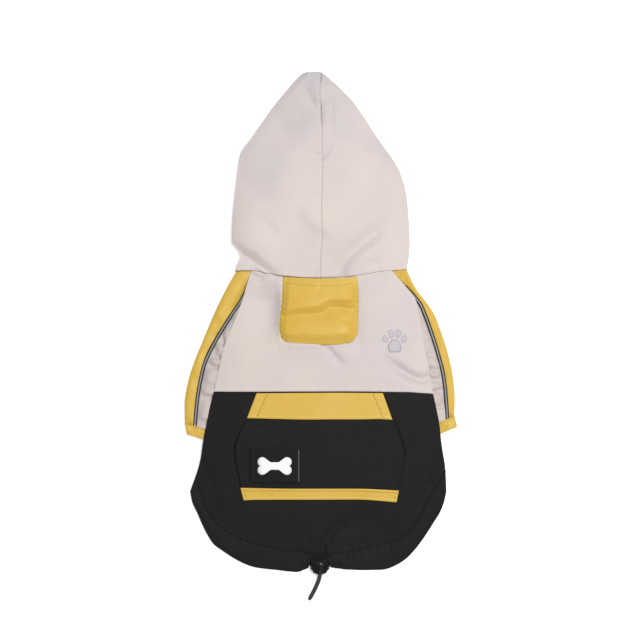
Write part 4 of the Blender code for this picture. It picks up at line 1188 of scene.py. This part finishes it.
TOP_LEFT, TOP_RIGHT = [(-45.9, -61.8), (-54.3, -81.2)], [(44.0, -62.4), (52.3, -82.0)]
TOP_FOLD = [(-62.2, -81.6), (0, -83.0), (60.2, -82.4)]
on_top(
    "pocket_top_cloth", "pocket_top", [(-54.2, -61.0), (52.2, -62.0), (-62.2, -81.6), (60.2, -82.4)], 100, 20,
    YELLOW, "yellow_cloth", (0.126, 0.023), 0.00265,
    lambda p: lip(p, TOP_FOLD, 0.45) - 0.3 * hump(near(p, TOP_LEFT)[0] / 0.7)
    - 0.3 * hump(near(p, TOP_RIGHT)[0] / 0.7),
    0.9, ["back_panel_cloth"],
)  # fmt: skip
BODY_LEFT = [(-62.6, -83.4), (-72.4, -109.0), (-71.9, -115.2), (-67.6, -139.9)]
BODY_RIGHT = [(60.8, -84.2), (70.1, -113.2), (69.6, -116.6), (66.0, -142.2)]
POCKET_CREASES = [
    ([(-58, -88), (-48, -90), (-40, -88.5)], 2.0, 2.4, -0.35, 0.2, 0.2),
    ([(30, -90), (44, -93), (56, -92)], 3.0, 3.0, -0.35, 0.2, 0.2),
    ([(-10, -112), (10, -116), (34, -113)], 9.0, 9.0, 0.45, 0.2, 0.2),
    ([(62, -120), (52, -126), (40, -128)], 4.0, 4.0, -0.3, 0.3, 0.2),
]  # fmt: skip
on_top(
    "pocket_body_cloth", "pocket_body",
    [(-62.6, -82.4), (60.8, -83.2), (-67.6, -139.9), (66.0, -142.2)], 104, 50,
    BLACK, "black_cloth", (0.144, 0.062), 0.0083,
    lambda p: creases(p, POCKET_CREASES) + lip(p, BODY_LEFT, 0.3) + lip(p, BODY_RIGHT, 0.3)
    + puckers(p, BODY_LEFT, 6, 0.15, 4, 33) + puckers(p, BODY_RIGHT, 6, 0.15, 4, 35),
    1.0, ["back_panel_cloth"],
)  # fmt: skip
BAND_TOP = [(-67.8, -140.6), (-20, -141.3), (30, -141.3), (65.8, -143.0)]
BAND_FOOT = [(-65.2, -151.9), (-20, -151.6), (30, -151.4), (64.0, -153.2)]
on_top(
    "pocket_band_cloth", "pocket_band",
    [(-67.8, -140.6), (65.8, -143.0), (-65.2, -151.9), (64.0, -153.2)], 104, 12,
    YELLOW, "yellow_cloth", (0.136, 0.014), 0.0017,
    lambda p: lip(p, BAND_FOOT, 0.35) + lip(p, BAND_TOP, 0.25) + puckers(p, BAND_TOP, 9, 0.12, 5, 37),
    0.9, ["back_panel_cloth"],
)  # fmt: skip

# %% [markdown]
# ## Woven label
#
# A label is woven from bright polyester yarn in a satin weave, so it is denser and a little shinier than
# the cloth it is sewn to. It carries a plain bone shape in white yarn, as many things for dogs do.

# %% Label cloth
LABEL = grained(
    "woven_satin_label", "TexWave",
    dict(bands_direction="Y", Scale=WAVES_PER_PERIOD / (0.5 * MM), Distortion=0.2),
    "#141517", "#1A1B1D", 0.2, Roughness=0.6, Specular_IOR_Level=0.1,
)  # fmt: skip

LABEL_CORNERS = [(-59.6, -107.6), (-18.4, -107.6), (-59.6, -136.2), (-18.4, -136.2)]
on_top(
    "label_cloth", "pocket_label", LABEL_CORNERS, 40, 28, LABEL, "woven_label", (0.0415, 0.0288), 0.00119,
    lambda p: -0.1, 0.6, ["pocket_body_cloth"],
)  # fmt: skip


# %% White yarn and print film
def thread(name, dark, light, roughness=0.5):
    twist = dict(bands_direction="DIAGONAL", Scale=WAVES_PER_PERIOD / (0.4 * MM))
    return grained(name, "TexWave", twist, dark, light, 0.2, Roughness=roughness, Specular_IOR_Level=0.3)


WHITE_YARN = thread("white_polyester_yarn", "#E4E4E8", "#F6F6F8")
# cream thread, darkened to stand for the shade inside the seam: painted shade
CREAM_THREAD_PAINTED_SEAM_SHADE = thread("cream_sewing_thread_painted_seam_shade", "#857B76", "#968C86")
YELLOW_THREAD = thread("yellow_sewing_thread", "#B08C30", "#C9A23E")
# the yellow thread, darkened to stand for the shade in the needle holes where stitches sink in: painted shade
YELLOW_THREAD_PAINTED_SHADE = thread("yellow_sewing_thread_painted_shade", "#6E5417", "#86681F")
BLACK_THREAD = thread("black_sewing_thread", "#070708", "#131315")
GREY_YARN = thread("grey_label_edge", "#55565A", "#6A6B6F")
FILM = thread("grey_heat_transfer_film", "#ABA8AE", "#B6B3B8", 0.4)


def tube_faces(base, lengths, n):
    """The quads between rings of n points each, the first of which starts at `base`."""
    return [
        (a + i, a + (i + 1) % n, a + n + (i + 1) % n, a + n + i)
        for a in range(base, base + lengths * n, n)
        for i in range(n)
    ]


def patch_of(name, outlines, carrier, material, raise_by=0.08, thickness=0.12):
    """Flat shapes laid on a piece, each a ring of points round its own middle."""
    tree = tree_of(carrier)
    points, faces = [], []
    for ring in outlines:
        ring = as_sewn(ring)
        middle, base, n = ring.mean(0), len(points), len(ring)
        for share in (1, 0.75, 0.5, 0.25):
            points += (middle + (ring - middle) * share).tolist()
        points.append(middle.tolist())
        faces += tube_faces(base, 3, n)
        faces += [(base + 3 * n + i, base + 3 * n + (i + 1) % n, base + 4 * n) for i in range(n)]
    points = np.array(points)
    mesh = new_mesh(name, with_z(points, cast(tree, points) + raise_by), faces)
    if mesh.polygons[0].normal.z < 0:
        mesh.flip_normals()
    piece = new_object(name, mesh, material)
    thicken(piece, thickness)
    put_on(piece)


def oval(x, y, wide, high, turn):
    angle = np.linspace(0, 2 * np.pi, 29)[:-1]
    flat = np.stack([wide * np.cos(angle), high * np.sin(angle)], axis=1)
    c, s = math.cos(math.radians(turn)), math.sin(math.radians(turn))
    return flat @ np.array([[c, s], [-s, c]]) + (x, y)


def paw(x, y, size):
    """A paw print: four toes over a pad with a flat foot."""
    angle = np.linspace(0, 2 * np.pi, 41)[:-1]
    pad = np.stack([np.cos(angle) * 5.6, np.sin(angle) * 4.4], axis=1)
    pad[:, 0] *= 1 - 0.35 * (pad[:, 1] / 4.4 + 1) / 2
    pad[:, 1] += -1.0 * np.exp(-((np.abs(pad[:, 0]) - 3.4) ** 2) / 4) * (pad[:, 1] < 0)
    toes = [oval(-6.4, 4.4, 1.9, 2.6, 28), oval(-2.4, 8.0, 2.0, 2.9, 8), oval(2.4, 8.0, 2.0, 2.9, -8),
            oval(6.4, 4.4, 1.9, 2.6, -28)]  # fmt: skip
    return [ring * size + (x, y) for ring in [pad, *toes]]


def bone(x, y, long, thick):
    """A bone: a bar with two knobs at each end, as one outline."""
    angle = np.linspace(0, 2 * np.pi, 121)[:-1]
    reach = []
    for a in angle:
        way = np.array([math.cos(a), math.sin(a)])
        best = 0.0
        for t in np.linspace(0.1, long, 240):
            px, py = way * t
            bar = abs(px) < long * 0.5 and abs(py) < thick * 0.5
            knob = math.hypot(abs(px) - long * 0.5, abs(py) - thick * 0.55) < thick * 0.62
            best = t if bar or knob else best
        reach.append(best)
    return np.stack([np.cos(angle) * reach, np.sin(angle) * reach], axis=1) + (x, y)


patch_of("yoke_print", paw(62.4, -19.5, 1.25), PANELS["yoke_cloth"], FILM, 0.05, 0.06)
patch_of("label_bone", [bone(-39.0, -121.9, 21.0, 6.4)], PANELS["label_cloth"], WHITE_YARN)
edge = [(-18.95, -108.2 - 0.7 * k) for k in range(40)] + [(-18.3, -135.5 + 0.7 * k) for k in range(40)]
patch_of("label_edge", [edge], PANELS["label_cloth"], GREY_YARN)
print("print and label: paw and bone")

# %% [markdown]
# ## Stitches
#
# Lockstitches are what tells sewn cloth from moulded plastic. Each is a short thread that dips into the
# cloth at both ends, about 2.6 mm long. They are modelled one by one along each seam and joined, because at
# this size a painted dash has no relief.


# %% Stitches
def stitches(name, lines, carriers, material, long=2.5, gap=0.8, thick=0.42):
    trees = [tree_of(PANELS[carrier]) for carrier in carriers]
    shares = np.array([0, 0.12, 0.5, 0.88, 1])
    radii = np.array([0.35, 0.9, 1, 0.9, 0.35]) * thick / 2
    rise = np.array([-0.5, 0.1, 0.35, 0.1, -0.5]) * thick / 2
    turn = np.linspace(0, 2 * np.pi, 7)[:-1]
    points, faces = [], []
    for line in lines:
        line = as_sewn(line)
        count = max(int(length_of(line) / (long + gap)), 1)
        starts = np.arange(count) / count
        a, b = smooth_line(line, starts), smooth_line(line, starts + long / (long + gap) / count)
        for p, q in zip(a, b):
            spots = p + (q - p) * shares[:, None]
            z = np.fmax.reduce([cast(tree, spots) for tree in trees])
            if np.isnan(z).any():
                continue
            way = (q - p) / np.linalg.norm(q - p)
            across = np.array([-way[1], way[0]])
            base = len(points)
            for spot, height, radius, lift in zip(spots, z, radii, rise):
                ring = spot + across * (radius * np.cos(turn))[:, None]
                points += np.column_stack([ring, height + lift + radius * np.sin(turn)]).tolist()
            faces += tube_faces(base, 4, 6)
            faces += [tuple(base + 5 - i for i in range(6)), tuple(base + 24 + i for i in range(6))]
    put_on(new_object(name, new_mesh(name, np.array(points), faces), material))
    print(f"{name}: {len(faces) // 26} stitches")


seam_y = np.array([[211.6, 209, 206, 203.5], [184, 179, 173, 167.5]])
stitches("hood_seam_stitches", list(np.stack([seam_x(seam_y) + 0.42, seam_y], axis=2)), ["hood_right_cloth"],
         CREAM_THREAD_PAINTED_SEAM_SHADE, 3.4, 0.3, 0.5)  # real stitches, drawn dark for the shade where the seam is pulled open: painted shade
stitches("flap_top_stitches", [[(-28.5, 33.6), (-14, 31.6), (2, 30.9), (18, 31.5), (27, 33.4)]],
         ["leash_flap_cloth"], YELLOW_THREAD_PAINTED_SHADE, 1.8, 1.2, 0.34)
stitches("flap_edge_stitches", [
    [(-28.9, 34), (-29.4, 16), (-31, 1), (-31.3, -7.4), (-28.6, -11.8), (-9, -14.8), (6, -15.2), (20.6, -14),
     (25.6, -11.8), (27.7, -8), (27.9, 2), (28.2, 16), (27.7, 34)],
], ["leash_flap_cloth"], YELLOW_THREAD, 2.0, 1.3, 0.22)  # fmt: skip
stitches("pocket_top_stitches", [TOP_LEFT, TOP_RIGHT], ["pocket_top_cloth"],
         YELLOW_THREAD_PAINTED_SHADE, 2.6, 0.5)  # fmt: skip
stitches("pocket_band_stitches", [
    [(-65, -143.2), (-20, -143.4), (30, -143.4), (63, -145.0)],
    [(-64.9, -142.6), (-63.4, -150)], [(63.4, -144.6), (62.2, -151.4)],
], ["pocket_band_cloth"], YELLOW_THREAD_PAINTED_SHADE, 1.9, 0.9, 0.36)  # fmt: skip
stitches("pocket_body_stitches", [
    [(-70.6, -109.4), (-70.1, -115.2), (-66.2, -138.6)], [(68.4, -113.6), (68.0, -117), (64.4, -140.6)],
    [(-67.8, -109.4), (-67.3, -115.2), (-63.8, -138.6)], [(65.6, -113.6), (65.2, -117), (61.8, -140.6)],
    [(69.2, -114.6), (67.6, -115.6)], [(69.2, -115.4), (67.6, -116.4)],
], ["pocket_body_cloth"], BLACK_THREAD)  # fmt: skip
stitches("label_stitches", [
    [(-58.6, -108.4), (-19.6, -108.4)], [(-58.6, -135.4), (-19.6, -135.4)],
], ["label_cloth"], BLACK_THREAD, 1.8, 0.6, 0.34)  # fmt: skip
below_seam = smooth_line(CASING_SEAM * (1.012, 1.0) - (0, 3.2), even(60))
stitches("casing_stitches", [below_seam], ["hem_casing_cloth"], BLACK_THREAD)
stitches("cuff_stitches", [
    [(-113.6, -88.2), (-87.2, -95.8)], [(112.0, -82.2), (89.0, -91.0)],
], ["cuff_left_cloth", "cuff_right_cloth"], YELLOW_THREAD, 2.2, 0.7, 0.38)  # fmt: skip

# %% [markdown]
# ## Cord lock
#
# The lock is injection-moulded in black acetal, which comes out of a polished mould glossy and slightly
# rounded at every edge. It is a turned form, flattened: a body with a finger groove, and the plunger's
# domed end below it.

# %% Moulded acetal
ACETAL, tree, shader = new_material(
    "black_moulded_acetal", Base_Color=colour("#060609"), Specular_IOR_Level=0.3
)  # fmt: skip
place = add(tree, "TexCoord").outputs["Object"]
grain = add(tree, "TexNoise", [("Vector", place)], Scale=900.0, Detail=2.0)
gloss = add(tree, "MapRange", [("Value", grain.outputs["Fac"])], To_Min=0.16, To_Max=0.28)
bump = add(tree, "Bump", [("Height", grain.outputs["Fac"])], Strength=0.05, Distance=0.0001)
tree.links.new(gloss.outputs["Result"], shader.inputs["Roughness"])
tree.links.new(bump.outputs["Normal"], shader.inputs["Normal"])


# %% Lock and plunger
def turned(name, profile, node):
    """A form turned round the cord from (radius, y) pairs, then flattened in height outside its bore."""
    bore, steps = 2.2, 72
    squash = (LOCK_Z - bore) / (8.5 - bore)
    angle = np.linspace(0, 2 * np.pi, steps + 1)[:-1]
    rings = []
    for radius, y in profile:
        low = (bore + (radius - bore) * squash) / radius
        x, z = LOCK_X + radius * np.cos(angle), LOCK_Z + radius * low * np.sin(angle)
        rings.append(np.stack([x, np.full(steps, y), z], axis=1))
    grid = np.array(rings + rings[:1])
    piece = sheet_object(name, grid, ACETAL, ring=True, thickness=0)
    mend(piece, lambda form: bmesh.ops.remove_doubles(form, verts=form.verts, dist=0.00001))
    piece.data.set_sharp_from_angle(angle=0.9)
    put_on(piece, node)
    return piece


def eased(points):
    return smooth_line(points, even(len(points) * 5))


body = [
    (2.2, -202.4), (5.6, -202.4), (6.9, -202.7), (7.9, -203.6), (8.4, -205.0), (8.5, -206.2), (8.45, -207.2),
    (8.0, -207.7), (8.1, -208.2), (8.0, -208.9), (7.6, -209.7), (7.0, -210.25), (5.0, -210.3), (2.2, -210.3),
]  # fmt: skip
lock = turned("cord_lock_body", np.concatenate([[body[0]], eased(body[1:]), [body[-1]]]), "cord_lock")
dome = [
    (2.2, -210.6), (6.3, -210.6), (6.6, -210.9), (6.1, -211.6), (5.3, -212.4), (4.3, -213.0), (3.2, -213.35),
    (2.2, -213.35),
]  # fmt: skip
plunger = turned("cord_lock_plunger_end", np.concatenate([[dome[0]], eased(dome[1:])]), "cord_lock_plunger")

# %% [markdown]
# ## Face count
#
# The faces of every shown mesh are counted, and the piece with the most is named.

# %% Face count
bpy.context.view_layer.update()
graph = bpy.context.evaluated_depsgraph_get()
counts = {o.name: len(o.evaluated_get(graph).data.polygons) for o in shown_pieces() if o.type == "MESH"}
print("faces:", sum(counts.values()), "most:", max(counts.items(), key=lambda pair: pair[1]))
